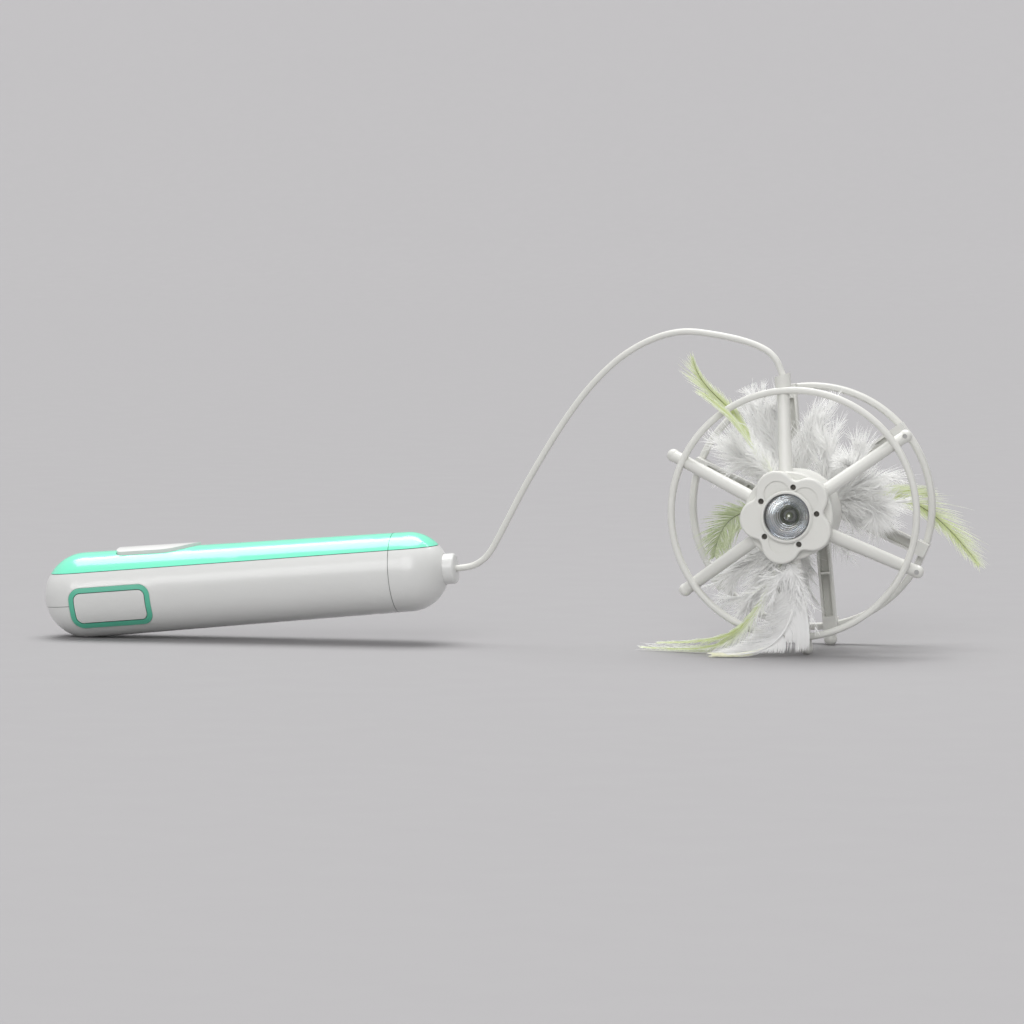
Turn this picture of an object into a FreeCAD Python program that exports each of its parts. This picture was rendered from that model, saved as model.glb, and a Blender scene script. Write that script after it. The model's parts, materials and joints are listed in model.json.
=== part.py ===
import FreeCAD, Part
import math
import os
from types import SimpleNamespace

import Sketcher

# Cat teaser wand: a battery handle, a stiff cable and a wheel-shaped guard cage in which a
# feather rotor spins round a fixed axle behind a lamp.
#
# Frame: +X from the handle's tail to the cage, -Y is the lamp side, +Z up, and the floor is Z = 0.
# The handle's pieces are drawn in the handle's frame, with +X along its axis from the centre of
# the tail dome. The cage's pieces are drawn in the cage's frame, with its origin on the axle in
# the middle between the two rings, and the axle along Y. Each piece is then placed as a whole.

V = FreeCAD.Vector
FAR = 300.0

SIZES = (
    ("cage_x", 123.41, "cage centre from the middle of the object's length"),
    ("cage_y", 6.24, "cage centre from the middle of the object's depth"),
    ("tail_x", -172.89, "centre of the tail dome"),
    ("tail_y", 0.24, "handle axis across"),
    ("tail_flat", 0.25, "depth of the flat under the tail"),
    ("foot_flat", 0.17, "depth of the flats under the cage's two feet"),
    ("pitch", 4.9, "handle's slope in degrees"),
    ("tail_radius", 17.6, "handle at the tail"),
    ("nose_radius", 16.2, "handle at the nose"),
    ("dome_span", 136.7, "between the centres of the two domes"),
    ("wall", 1.8, "moulded wall of the handle"),
    ("split_high", 9.9, "parting plane of the top cover above the axis"),
    ("cap_back", 5.2, "front cap's seam behind the nose dome's centre"),
    ("lip_long", 4.0, "cap lip inside the handle"),
    ("lip_thick", 1.2, "cap lip"),
    ("fit_gap", 0.1, "between a lip and the bore that it enters"),
    ("seam_half", 0.12, "half the width of the groove along a seam"),
    ("seam_deep", 0.3, "groove along a seam"),
    ("gland_out", 13.5, "gland's seat before the nose dome's centre"),
    ("gland_long", 6.0, "gland's collar"),
    ("gland_radius", 6.25, "gland's collar"),
    ("neck_radius", 4.9, "gland's threaded neck"),
    ("nut_radius", 8.0, "gland nut"),
    ("nut_thick", 2.3, "gland nut"),
    ("seat_thick", 2.2, "cap's boss under the gland"),
    ("cell_radius", 7.1, "round battery cell"),
    ("cell_long", 50.0, "round battery cell"),
    ("cell_start", 21.5, "cell's tail end"),
    ("cell_drop", 4.0, "cell axis below the handle's axis"),
    ("contact_thick", 0.5, "battery contact plate"),
    ("rib_thick", 1.5, "ribs across the lower shell"),
    ("board_high", 5.4, "underside of the circuit board"),
    ("board_thick", 1.2, "circuit boards"),
    ("board_wide", 20.0, "circuit board"),
    ("switch_side", 6.0, "key switch, square"),
    ("switch_deep", 3.5, "key switch body"),
    ("key_radius", 1.7, "key switch plunger"),
    ("key_gap", 0.9, "between a button and its plunger, over the travel"),
    ("pad_start", 15.5, "thumb pad's tail end"),
    ("pad_long", 34.5, "thumb pad"),
    ("pad_half", 7.5, "half the thumb pad's width"),
    ("pad_nose", 16.0, "length of the thumb pad's pointed front"),
    ("pad_corner", 2.5, "thumb pad's tail corners"),
    ("pad_proud", 1.2, "thumb pad above the cover"),
    ("pad_gap", 0.3, "round a button"),
    ("rim_step", 0.7, "how far a button's hidden rim reaches past its opening"),
    ("rim_thick", 1.0, "button's hidden rim"),
    ("pad_rim_high", 11.6, "underside of the thumb pad's rim"),
    ("panel_x", 14.0, "side button's centre along the handle"),
    ("panel_drop", 4.6, "side button's centre below the axis"),
    ("panel_long", 29.8, "side button"),
    ("panel_tall", 12.2, "side button"),
    ("panel_corner", 2.6, "side button"),
    ("bezel_wide", 2.0, "mint ring round the side button"),
    ("bezel_back", 10.2, "back of the mint ring from the handle's middle plane"),
    ("boss_radius", 4.0, "screw bosses"),
    ("screw_step", 10.0, "shell screws from the cell's contact and the cap's seam"),
    ("screw_head", 2.4, "shell screw head radius"),
    ("screw_shank", 1.2, "shell screw shank radius"),
    ("head_high", 2.0, "where a shell screw's head seats"),
    ("ring_radius", 50.2, "both rings, outer"),
    ("ring_bar", 2.7, "both rings, radial"),
    ("ring_half", 26.0, "ring centres either side of the cage's middle"),
    ("front_bar_wide", 3.2, "front ring along the axle"),
    ("rear_bar_wide", 5.0, "rear ring along the axle"),
    ("arm_turn", 95.3, "direction of the top arm in degrees"),
    ("arm_root", 15.0, "arm's inner end from the axle"),
    ("arm_reach", 53.6, "centre of an arm's rounded tip from the axle"),
    ("arm_back", 36.6, "arm's root in front of the cage's middle"),
    ("arm_behind", 2.6, "arm's axis behind the ring's middle where they cross"),
    ("arm_thick", 2.7, "arm's radius at the root"),
    ("arm_thin", 2.4, "arm's radius near the tip"),
    ("pin_radius", 0.95, "pins at the ends of the two right arms"),
    ("pin_long", 1.9, "arm pins"),
    ("pin_proud", 0.2, "lower arm pin before the arm's end"),
    ("pin_sunk", 0.8, "upper arm pin inside the arm's end"),
    ("tip_radius", 2.6, "arm's rounded tip"),
    ("ferrule_radius", 3.2, "cable ferrule"),
    ("ferrule_long", 4.8, "cable ferrule"),
    ("ferrule_lean", 12.2, "slope of the ferrule's top towards the cable in degrees"),
    ("ferrule_shift", 0.6, "ferrule's axis behind the arm's at its lower end"),
    ("drum_radius", 17.5, "drum and front hub"),
    ("drum_wall", 1.6, "drum"),
    ("drum_front", 33.4, "drum's open front end"),
    ("drum_rear", 13.0, "drum's rear face"),
    ("ledge", 1.1, "step in the drum that the motor plate sits on"),
    ("plate_back", 20.5, "rear face of the motor plate"),
    ("plate_thick", 1.5, "motor plate"),
    ("motor_radius", 5.0, "motor can"),
    ("motor_turn", 250.0, "direction of the motor from the axle in degrees"),
    ("shaft_radius", 0.75, "motor shaft"),
    ("run_gap", 0.05, "running clearance of a shaft"),
    ("module", 0.5, "gear module"),
    ("pinion_teeth", 10.0, "motor pinion"),
    ("wheel_teeth", 30.0, "rotor gear"),
    ("gear_wide", 3.0, "rotor gear"),
    ("gear_play", 0.1, "backlash at the pitch circle"),
    ("axle_radius", 2.0, "fixed axle"),
    ("axle_end", 26.2, "axle's rear end"),
    ("axle_head", 3.5, "axle head"),
    ("bush_thick", 1.3, "rotor bushes"),
    ("bush_long", 5.0, "rotor bushes"),
    ("sleeve_radius", 4.6, "rotor sleeve in the drum"),
    ("barrel_radius", 7.0, "rotor barrel between drum and rear hub"),
    ("barrel_front", 12.4, "barrel's front end"),
    ("barrel_rear", 15.6, "barrel's rear end"),
    ("washer_gap", 0.1, "end play of the rotor"),
    ("rear_hub_front", 17.0, "rear hub's front face"),
    ("rear_hub_long", 6.0, "rear hub"),
    ("rear_hub_radius", 8.5, "rear hub"),
    ("rib_turn", 95.4, "direction of the top rear rib in degrees"),
    ("rib_offset", 4.0, "rear ribs beside the axle"),
    ("rib_wide", 5.5, "rear ribs"),
    ("rib_deep", 4.5, "rear ribs"),
    ("rib_wall", 1.0, "rear ribs' channel"),
    ("clip_long", 4.6, "rear rib's block at the ring, from its outer face"),
    ("foot_radius", 2.7, "rear foot's ball"),
    ("nut_face", 7.0, "axle nut across its flats"),
    ("nut_long", 3.2, "axle nut"),
    ("petal_radius", 7.8, "petals of the lamp's flower cap"),
    ("petal_centre", 11.0, "petal centres from the axle"),
    ("petal_turn", 42.0, "direction of one petal in degrees"),
    ("notch_radius", 3.0, "hollow between two petals"),
    ("cap_thick", 4.2, "flower cap"),
    ("cap_round", 0.9, "flower cap's front edge"),
    ("dish_radius", 5.2, "shallow dishes in three petals"),
    ("dish_centre", 9.6, "dish centres from the axle"),
    ("dish_deep", 0.6, "dishes"),
    ("cap_screw_circle", 11.8, "cap screws from the axle"),
    ("cap_hole", 1.15, "cap screw hole radius"),
    ("cap_pilot", 0.8, "cap screw shank radius"),
    ("lamp_front", 43.6, "flower cap's front face before the cage's middle"),
    ("lamp_bore", 9.3, "bore for the lamp"),
    ("lens_radius", 9.0, "lamp lens"),
    ("lens_thick", 1.6, "lamp lens at its rim"),
    ("lens_rise", 0.5, "lamp lens, domed front"),
    ("bezel_radius", 10.3, "white ring round the lens"),
    ("bezel_proud", 1.2, "white ring round the lens"),
    ("led_radius", 1.5, "light-emitting chip's dome"),
    ("cable_radius", 1.3, "cable"),
    ("clamp_radius", 2.8, "feather clamps on the rotor"),
    ("clamp_end", 12.0, "feather clamps' outer end from the axle"),
    ("vane_thick", 0.45, "half the thickness of a streamer's vane"),
)


class Size:
    """A length that knows its value and the sheet expression that it comes from."""

    def __init__(self, value, text):
        self.value = value
        self.text = text

    def joined(self, other, sign, value):
        return Size(value, f"({self.text} {sign} {as_size(other).text})")

    def __add__(self, other):
        return self.joined(other, "+", self.value + as_size(other).value)

    def __sub__(self, other):
        return self.joined(other, "-", self.value - as_size(other).value)

    def __mul__(self, other):
        return self.joined(other, "*", self.value * as_size(other).value)

    def __truediv__(self, other):
        return self.joined(other, "/", self.value / as_size(other).value)

    def __radd__(self, other):
        return as_size(other) + self

    def __rsub__(self, other):
        return as_size(other) - self

    def __neg__(self):
        return Size(-self.value, f"(-1 * {self.text})")


def as_size(number):
    return number if isinstance(number, Size) else Size(float(number), f"({float(number)})")


def sine(degrees):
    turn = as_size(degrees)
    return Size(math.sin(math.radians(turn.value)), f"sin({turn.text} * 1 deg)")


def cosine(degrees):
    turn = as_size(degrees)
    return Size(math.cos(math.radians(turn.value)), f"cos({turn.text} * 1 deg)")


def root(number):
    return Size(math.sqrt(number.value), f"sqrt({number.text})")


doc = FreeCAD.newDocument("CatTeaserWand")
sheet = doc.addObject("Spreadsheet::Sheet", "Sizes")
for row, (alias, number, meaning) in enumerate(SIZES, start=1):
    sheet.set(f"A{row}", meaning)
    sheet.set(f"B{row}", str(number))
    sheet.setAlias(f"B{row}", alias)
doc.recompute()
S = SimpleNamespace(**{alias: Size(float(number), f"Sizes.{alias}") for alias, number, _ in SIZES})

cap_seam = S.dome_span - S.cap_back
gland_seat = S.dome_span + S.gland_out
tail_high = S.tail_radius - S.tail_flat
cage_high = S.arm_reach * cosine(S.arm_turn - 90) + S.tip_radius - S.foot_flat

HANDLE = FreeCAD.Placement(
    V(S.tail_x.value, S.tail_y.value, tail_high.value),
    FreeCAD.Rotation(V(0, 1, 0), -S.pitch.value),
)
CAGE = FreeCAD.Placement(V(S.cage_x.value, S.cage_y.value, cage_high.value), FreeCAD.Rotation())
nodes = {}


# Helpers


def bind(thing, prop, size):
    """Ties one property of an object to the sheet."""
    thing.setExpression(prop, as_size(size).text)


def node(name, thing, frame):
    """Makes an object one of the part's pieces, in the frame that it was drawn in."""
    thing.Label = name
    thing.Placement = frame.multiply(thing.Placement)
    nodes[name] = thing
    return thing


def numbered(name):
    return f"{name}_{len(doc.Objects)}"


def new_body(name):
    return doc.addObject("PartDesign::Body", numbered(name))


def new_sketch(body, name, role, offset=0.0):
    """A sketch on one of the body's origin planes, moved along the plane's normal."""
    sketch = body.newObject("Sketcher::SketchObject", numbered(name))
    plane = next(f for f in body.Origin.OriginFeatures if f.Role == role)
    sketch.AttachmentSupport = (plane, "")
    sketch.MapMode = "FlatFace"
    bind(sketch, "AttachmentOffset.Base.z", offset)
    return sketch


def bulge_point(start, end, radius, side):
    """The middle of an arc from start to end that swells to the left (1) or the right (-1)."""
    half = (end - start) * 0.5
    rise = radius - math.sqrt(max(radius**2 - half.Length**2, 0.0))
    left = V(-half.y, half.x, 0).normalize()
    return start + half + left * (side * rise)


def draw(sketch, corners, arcs=None):
    """Draws a closed outline: each corner is held by its two coordinates, each arc by its radius.

    arcs gives, by edge number, the radius and the side that the edge swells to.
    """
    arcs = arcs or {}
    corners = [(as_size(x), as_size(y)) for x, y in corners]
    places = [V(x.value, y.value, 0) for x, y in corners]
    count = len(places)
    for i, start in enumerate(places):
        end = places[(i + 1) % count]
        if i in arcs:
            radius, side = arcs[i]
            middle = bulge_point(start, end, as_size(radius).value, side)
            arc = Part.Arc(start, middle, end)
            sketch.addGeometry(arc)
        else:
            sketch.addGeometry(Part.LineSegment(start, end))
    ends = [edge_ends(sketch, i, places[i]) for i in range(count)]
    for i, (x, y) in enumerate(corners):
        following = (i + 1) % count
        joined = Sketcher.Constraint("Coincident", i, ends[i][1], following, ends[following][0])
        sketch.addConstraint(joined)
        for kind, size in (("DistanceX", x), ("DistanceY", y)):
            number = sketch.addConstraint(Sketcher.Constraint(kind, -1, 1, i, ends[i][0], size.value))
            sketch.setExpression(f"Constraints[{number}]", size.text)
    for i, (radius, _) in arcs.items():
        number = sketch.addConstraint(Sketcher.Constraint("Radius", i, as_size(radius).value))
        sketch.setExpression(f"Constraints[{number}]", as_size(radius).text)


def edge_ends(sketch, i, start):
    """Which of an edge's two sketch points is its start: an arc is stored anticlockwise."""
    first = sketch.getPoint(i, 1)
    return (1, 2) if first.distanceToPoint(start) < 1e-6 else (2, 1)


def rounded(x0, x1, y0, y1, radius):
    """Corners and arcs of a rectangle with round corners, for draw()."""
    r = as_size(radius)
    corners = (
        (x0 + r, y0), (x1 - r, y0), (x1, y0 + r), (x1, y1 - r),
        (x1 - r, y1), (x0 + r, y1), (x0, y1 - r), (x0, y0 + r),
    )
    return corners, {i: (r, -1) for i in (1, 3, 5, 7)}


def turned(name, corners, arcs=None, along="Y"):
    """A body of revolution. Corners are (radius, y) about Y, or (x, radius) about X."""
    body = new_body(name)
    sketch = new_sketch(body, "profile", "XY_Plane")
    draw(sketch, corners, arcs)
    turn = body.newObject("PartDesign::Revolution", numbered("turn"))
    turn.Profile = sketch
    turn.ReferenceAxis = (sketch, ["V_Axis" if along == "Y" else "H_Axis"])
    turn.Angle = 360.0
    return body


def prism(name, corners, arcs, role, start, length):
    """A body that pads an outline from start, measured along the plane's normal."""
    body = new_body(name)
    sketch = new_sketch(body, "outline", role, start)
    draw(sketch, corners, arcs)
    pad = body.newObject("PartDesign::Pad", numbered("pad"))
    pad.Profile = sketch
    bind(pad, "Length", length)
    return body


def facing(direction):
    """The rotation that turns +Z to a direction."""
    return FreeCAD.Rotation(V(0, 0, 1), direction)


def cylinder(name, radius, length, at, direction):
    shape = doc.addObject("Part::Cylinder", numbered(name))
    bind(shape, "Radius", radius)
    bind(shape, "Height", length)
    shape.Placement = FreeCAD.Placement(V(*[as_size(c).value for c in at]), facing(V(*direction)))
    return shape


def block(name, low, high, turn=None):
    """A box between two corners, turned about the Y axis afterwards."""
    shape = doc.addObject("Part::Box", numbered(name))
    for prop, a, b in zip(("Length", "Width", "Height"), low, high):
        bind(shape, prop, as_size(b) - a)
    place = FreeCAD.Placement(V(*[as_size(c).value for c in low]), FreeCAD.Rotation())
    shape.Placement = (turn or FreeCAD.Placement()).multiply(place)
    return shape


def ball(name, radius, at):
    shape = doc.addObject("Part::Sphere", numbered(name))
    bind(shape, "Radius", radius)
    shape.Placement = FreeCAD.Placement(at, FreeCAD.Rotation())
    return shape


def fuse(name, shapes):
    if len(shapes) == 1:
        return shapes[0]
    result = doc.addObject("Part::MultiFuse", numbered(name))
    result.Shapes = shapes
    return result


def common(name, shapes):
    result = doc.addObject("Part::MultiCommon", numbered(name))
    result.Shapes = shapes
    return result


def cut(name, base, tools):
    result = doc.addObject("Part::Cut", numbered(name))
    result.Base = base
    result.Tool = fuse(name + "_tools", tools)
    return result


def group(name, shapes):
    result = doc.addObject("Part::Compound", numbered(name))
    result.Links = shapes
    return result


def tube(name, inner, outer, start, end):
    """A ring about the axle."""
    return turned(name, ((inner, start), (outer, start), (outer, end), (inner, end)))


def about_axle(degrees):
    """The placement that turns +X to a direction in the cage's plane, X to Z anticlockwise."""
    return FreeCAD.Placement(V(0, 0, 0), FreeCAD.Rotation(V(0, 1, 0), -degrees))


def polar(radius, degrees, y):
    """A point at a radius and direction round the axle."""
    turn = math.radians(degrees)
    return V(radius * math.cos(turn), y, radius * math.sin(turn))


# Handle shells


def capsule(name, tail, nose, centre_x=S.dome_span):
    """The handle's tapered body with a dome at each end."""
    corners = ((-tail, 0), (0, tail), (centre_x, nose), (centre_x + nose, 0))
    return turned(name, corners, {0: (tail, 1), 2: (nose, 1)}, along="X")


def bore_radius(x):
    """The handle's cavity radius at a place along it."""
    return S.tail_radius - S.wall + (S.nose_radius - S.tail_radius) * x / S.dome_span


outer = capsule("handle_outer", S.tail_radius, S.nose_radius)
inner = capsule("handle_inner", S.tail_radius - S.wall, S.nose_radius - S.wall)
skin = cut("handle_skin", outer, [inner])
floor_in_handle = block("floor", (-FAR, -FAR, -FAR), (FAR, FAR, 0))
floor_in_handle.Placement = HANDLE.inverse().multiply(floor_in_handle.Placement)

cell_end = S.cell_start + S.cell_long + S.contact_thick
first_wall = S.cell_start - S.contact_thick - S.rib_thick
SCREWS = (as_size(-8), cell_end + S.screw_step, cap_seam - S.screw_step)
screw_tip = S.split_high + 3.2


def handle_zone(name, start, end, low, high):
    return block(name, (start, -FAR, low), (end, FAR, high))


def below_skin(name, deep):
    """The handle's body, less a depth all over."""
    return capsule(name, S.tail_radius - deep, S.nose_radius - deep)


def seam_grooves():
    """Fine grooves along the parting plane and round the front cap's seam."""
    parting = handle_zone("parting", -FAR, FAR, S.split_high - S.seam_half, S.split_high + S.seam_half)
    round_cap = handle_zone("cap_line", cap_seam - S.seam_half, cap_seam + S.seam_half, -FAR, FAR)
    return cut("seams", fuse("seams", [parting, round_cap]), [below_skin("seam_floor", S.seam_deep)])


def thumb_outline(grow):
    """Blunt at the tail, parallel sides, and two arcs that meet in a point at the front."""
    start = S.pad_start - grow
    half = S.pad_half + grow
    shoulder = S.pad_start + S.pad_long - S.pad_nose
    tip = S.pad_start + S.pad_long + grow
    corner = S.pad_corner + grow
    long = tip - shoulder
    side = (long * long + half * half) / (half * 2)
    corners = (
        (start, corner - half), (start + corner, -half), (shoulder, -half), (tip, 0),
        (shoulder, half), (start + corner, half), (start, half - corner),
    )
    return corners, {0: (corner, -1), 2: (side, -1), 3: (side, -1), 5: (corner, -1)}


def panel_outline(grow):
    """The side button's rounded rectangle, seen along Y."""
    half_long = S.panel_long / 2 + grow
    half_tall = S.panel_tall / 2 + grow
    middle = -S.panel_drop
    return rounded(
        S.panel_x - half_long, S.panel_x + half_long, middle - half_tall, middle + half_tall,
        S.panel_corner + grow,
    )


def thumb_prism(name, grow, low, high):
    corners, arcs = thumb_outline(grow)
    return prism(name, corners, arcs, "XY_Plane", low, as_size(high) - low)


def panel_prism(name, grow, back, front):
    """Between two distances from the handle's middle plane on the lamp side."""
    corners, arcs = panel_outline(grow)
    return prism(name, corners, arcs, "XZ_Plane", back, as_size(front) - back)


bezel_grow = S.pad_gap + S.bezel_wide
seams = seam_grooves()


def lower_shell():
    """White lower shell with the cell's bulkheads, cradle ribs, board rests and screw bosses."""
    below = common("lower_skin", [skin, handle_zone("below", -FAR, cap_seam, -FAR, S.split_high)])
    walls = []
    for start in (first_wall, cell_end):
        zone = handle_zone("bulkhead", start, start + S.rib_thick, -FAR, S.board_high)
        walls.append(common("bulkhead", [inner, zone]))
    for share in (0.3, 0.7):
        start = S.cell_start + S.cell_long * share
        zone = handle_zone("rib", start, start + S.rib_thick, -FAR, S.board_high)
        slot = block("slot", (start - 1, -S.cell_radius, -S.cell_drop), (start + 3, S.cell_radius, FAR))
        walls.append(cut("cradle", common("rib", [inner, zone]), [cell("cell_space"), slot]))
    boss_long = S.split_high + FAR
    bosses = [cylinder("boss", S.boss_radius, boss_long, (x, 0, -FAR), (0, 0, 1)) for x in SCREWS]
    bosses = common("bosses", [outer, fuse("bosses", bosses)])
    boss_top = handle_zone("boss_top", -FAR, FAR, S.split_high, FAR)
    bezel_line = panel_prism("bezel_line", bezel_grow + S.seam_half * 2, 0.0, FAR)
    tools = [
        panel_prism("panel_hole", bezel_grow, 0.0, FAR),
        cut("bezel_line", bezel_line, [below_skin("bezel_floor", S.seam_deep)]),
        seams,
        floor_in_handle,
        boss_top,
    ]
    for x in SCREWS:
        tools.append(cylinder("sink", S.screw_head + 0.2, S.head_high + FAR, (x, 0, -FAR), (0, 0, 1)))
        tools.append(cylinder("hole", S.screw_shank + 0.15, FAR, (x, 0, 0), (0, 0, 1)))
    solid = fuse("lower_solid", [below, bosses, *walls])
    return cut("lower_shell", solid, tools)


def cell(name):
    return cylinder(name, S.cell_radius, S.cell_long, (S.cell_start, 0, -S.cell_drop), (1, 0, 0))


def top_cover():
    """Mint cover along the top, with screw bosses and the thumb pad's opening."""
    above = common("upper_skin", [skin, handle_zone("above", -FAR, cap_seam, S.split_high, FAR)])
    bosses = [cylinder("boss", S.boss_radius, FAR, (x, 0, S.split_high), (0, 0, 1)) for x in SCREWS]
    solid = fuse("cover_solid", [above, common("cover_bosses", [outer, fuse("bosses", bosses)])])
    pilot_long = screw_tip - S.split_high
    pilots = [cylinder("pilot", S.screw_shank, pilot_long, (x, 0, S.split_high), (0, 0, 1)) for x in SCREWS]
    return cut("top_cover", solid, [thumb_prism("opening", S.pad_gap, 0.0, FAR), seams, *pilots])


def cap_piece(name, low, high, seat=None):
    """One half of the front cap, with its share of the lip that enters the handle."""
    zone = handle_zone("nose", cap_seam, FAR, low, high)
    lip_zone = handle_zone("lip", -FAR, FAR, low, high)
    lip_outer = bore_radius(cap_seam) - S.fit_gap
    lip_inner = lip_outer - S.lip_thick
    start = cap_seam - S.lip_long
    corners = (
        (start, lip_inner), (start, lip_outer), (cap_seam, lip_outer),
        (cap_seam, lip_outer + S.fit_gap * 3), (cap_seam + 1.5, lip_outer + S.fit_gap * 3),
        (cap_seam + 1.5, lip_inner),
    )
    lip = turned("lip", corners, along="X")
    pieces = [common(name, [skin, zone]), common(name, [lip, lip_zone])]
    if seat:
        pieces.append(seat)
    return cut(name, fuse(name, pieces), [seams])


def front_cap():
    """White cap with the boss and hole for the cable gland."""
    boss = cylinder("gland_boss", S.nut_radius + 0.5, FAR, (gland_seat - S.seat_thick, 0, 0), (1, 0, 0))
    solid = cap_piece("cap", -FAR, S.split_high, common("gland_boss", [outer, boss]))
    hole = cylinder("gland_hole", S.neck_radius + S.fit_gap / 2, FAR, (cap_seam, 0, 0), (1, 0, 0))
    spot = cylinder("gland_spot", S.gland_radius + S.fit_gap, FAR, (gland_seat, 0, 0), (1, 0, 0))
    return cut("front_cap", solid, [hole, spot])


def gland():
    """Collar and threaded neck that the cable comes out of."""
    end = gland_seat + S.gland_long
    start = gland_seat - S.seat_thick - S.nut_thick
    round_edge = as_size(1.2)
    corners = (
        (start, 0), (start, S.neck_radius), (gland_seat, S.neck_radius),
        (gland_seat, S.gland_radius), (end - round_edge, S.gland_radius),
        (end, S.gland_radius - round_edge), (end, 0),
    )
    return turned("gland", corners, {4: (round_edge, 1)}, along="X")


def gland_nut():
    start = gland_seat - S.seat_thick - S.nut_thick
    end = start + S.nut_thick
    corners = ((start, S.neck_radius), (start, S.nut_radius), (end, S.nut_radius), (end, S.neck_radius))
    return turned("gland_nut", corners, along="X")


def thumb_pad():
    """White pad that stands proud of the cover, with a hidden rim that keeps it in."""
    proud = capsule("pad_crown", S.tail_radius + S.pad_proud, S.nose_radius + S.pad_proud)
    column = common("pad_column", [proud, thumb_prism("pad", 0.0, S.pad_rim_high, FAR)])
    rim = thumb_prism("pad_rim", S.pad_gap + S.rim_step, S.pad_rim_high, S.pad_rim_high + S.rim_thick)
    return fuse("thumb_pad", [column, rim])


def side_button():
    """Flush button on the lamp side, with a hidden rim behind the mint ring."""
    rim_front = S.bezel_back - S.pad_gap
    rim_back = rim_front - S.rim_thick
    column = common("panel_column", [outer, panel_prism("panel", 0.0, rim_back, FAR)])
    rim = panel_prism("panel_rim", S.pad_gap + S.rim_step, rim_back, rim_front)
    return fuse("side_button", [column, rim])


def button_bezel():
    ring = common("bezel_solid", [outer, panel_prism("bezel", bezel_grow, S.bezel_back, FAR)])
    return cut("button_bezel", ring, [panel_prism("bezel_hole", S.pad_gap, 0.0, FAR)])


def key_switch(name, at, direction, height):
    """Square switch body with a round plunger, from its board outwards."""
    body = doc.addObject("Part::Box", numbered(name))
    half = S.switch_side / 2
    for prop, size in (("Length", S.switch_side), ("Width", S.switch_side), ("Height", S.switch_deep)):
        bind(body, prop, size)
    place = FreeCAD.Placement(at, facing(direction))
    body.Placement = place.multiply(FreeCAD.Placement(V(-half.value, -half.value, 0), FreeCAD.Rotation()))
    key = doc.addObject("Part::Cylinder", numbered(name))
    bind(key, "Radius", S.key_radius)
    bind(key, "Height", height)
    key.Placement = place
    return fuse(name, [body, key])


board_top = S.board_high + S.board_thick
switch_x = S.pad_start + S.pad_long / 2
side_tip = S.bezel_back - S.pad_gap - S.rim_thick - S.key_gap
side_board_front = side_tip - S.switch_deep - 0.5

node("handle_lower_shell", lower_shell(), HANDLE)
node("top_cover", top_cover(), HANDLE)
node("front_cap", front_cap(), HANDLE)
node("front_cap_trim", cap_piece("cap_trim", S.split_high, FAR), HANDLE)
node("cable_gland", gland(), HANDLE)
node("gland_nut", gland_nut(), HANDLE)
node("thumb_pad", thumb_pad(), HANDLE)
node("side_button", side_button(), HANDLE)
node("button_bezel", button_bezel(), HANDLE)
node("battery_cell", cell("battery"), HANDLE)
node(
    "battery_contacts",
    group("contacts", [
        block(
            "contact",
            (start, -5, -S.cell_drop - 5),
            (start + S.contact_thick, 5, -S.cell_drop + 5),
        )
        for start in (S.cell_start - S.contact_thick, S.cell_start + S.cell_long)
    ]),
    HANDLE,
)
node(
    "circuit_board",
    block(
        "board",
        (first_wall, -S.board_wide / 2, S.board_high),
        (cell_end + S.rib_thick, S.board_wide / 2, board_top),
    ),
    HANDLE,
)
node(
    "thumb_switch",
    key_switch(
        "thumb_key", V(switch_x.value, 0, board_top.value), V(0, 0, 1),
        S.pad_rim_high - S.key_gap - board_top,
    ),
    HANDLE,
)
node(
    "side_switch",
    key_switch(
        "side_key", V(S.panel_x.value - 4, -side_board_front.value, -S.panel_drop.value),
        V(0, -1, 0), side_tip - side_board_front,
    ),
    HANDLE,
)
node(
    "side_switch_board",
    block(
        "side_board",
        (S.panel_x - 10, -side_board_front, -S.panel_drop - 6),
        (first_wall, S.board_thick - side_board_front, -S.panel_drop + 6),
    ),
    HANDLE,
)
node(
    "shell_screws",
    group("screws", [
        fuse("screw", [
            cylinder("head", S.screw_head, 1.8, (x, 0, S.head_high - 1.8), (0, 0, 1)),
            cylinder("shank", S.screw_shank, screw_tip - S.head_high, (x, 0, S.head_high), (0, 0, 1)),
        ])
        for x in SCREWS
    ]),
    HANDLE,
)


# Cage: rings, arms and hub

floor_in_cage = block("floor", (-FAR, -FAR, -FAR), (FAR, FAR, -cage_high))
hub_front = S.lamp_front - S.cap_thick
board_seat = S.drum_front + 1.2


def arm_y(radius):
    """Where an arm's axis lies along the axle at a radius."""
    return ((radius - S.arm_root) * arm_slope - S.arm_back).value


def arm(turn, reach):
    """A tapered round arm that leans back from the hub to the ring, with a rounded tip."""
    start = polar(S.arm_root.value, turn, arm_y(S.arm_root))
    end = polar(reach.value, turn, arm_y(reach))
    rod = doc.addObject("Part::Cone", numbered("arm"))
    bind(rod, "Radius1", S.arm_thick)
    bind(rod, "Radius2", S.arm_thin)
    rod.Height = (end - start).Length
    rod.Placement = FreeCAD.Placement(start, facing(end - start))
    return [rod, ball("arm_tip", S.tip_radius, end)]


def at_tip(name, turn, radius, start, long):
    """A cylinder along the axle at an arm's end, from a distance before its centre."""
    place = polar(S.arm_reach.value, turn, arm_y(S.arm_reach) - as_size(start).value)
    return cylinder(name, radius, long, place, (0, 1, 0))


def arms():
    pieces = []
    for k in range(6):
        pieces += arm(S.arm_turn.value + 60 * k, S.ring_radius if k == 0 else S.arm_reach)
    return cut("arms", fuse("arms", pieces), [floor_in_cage])


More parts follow.
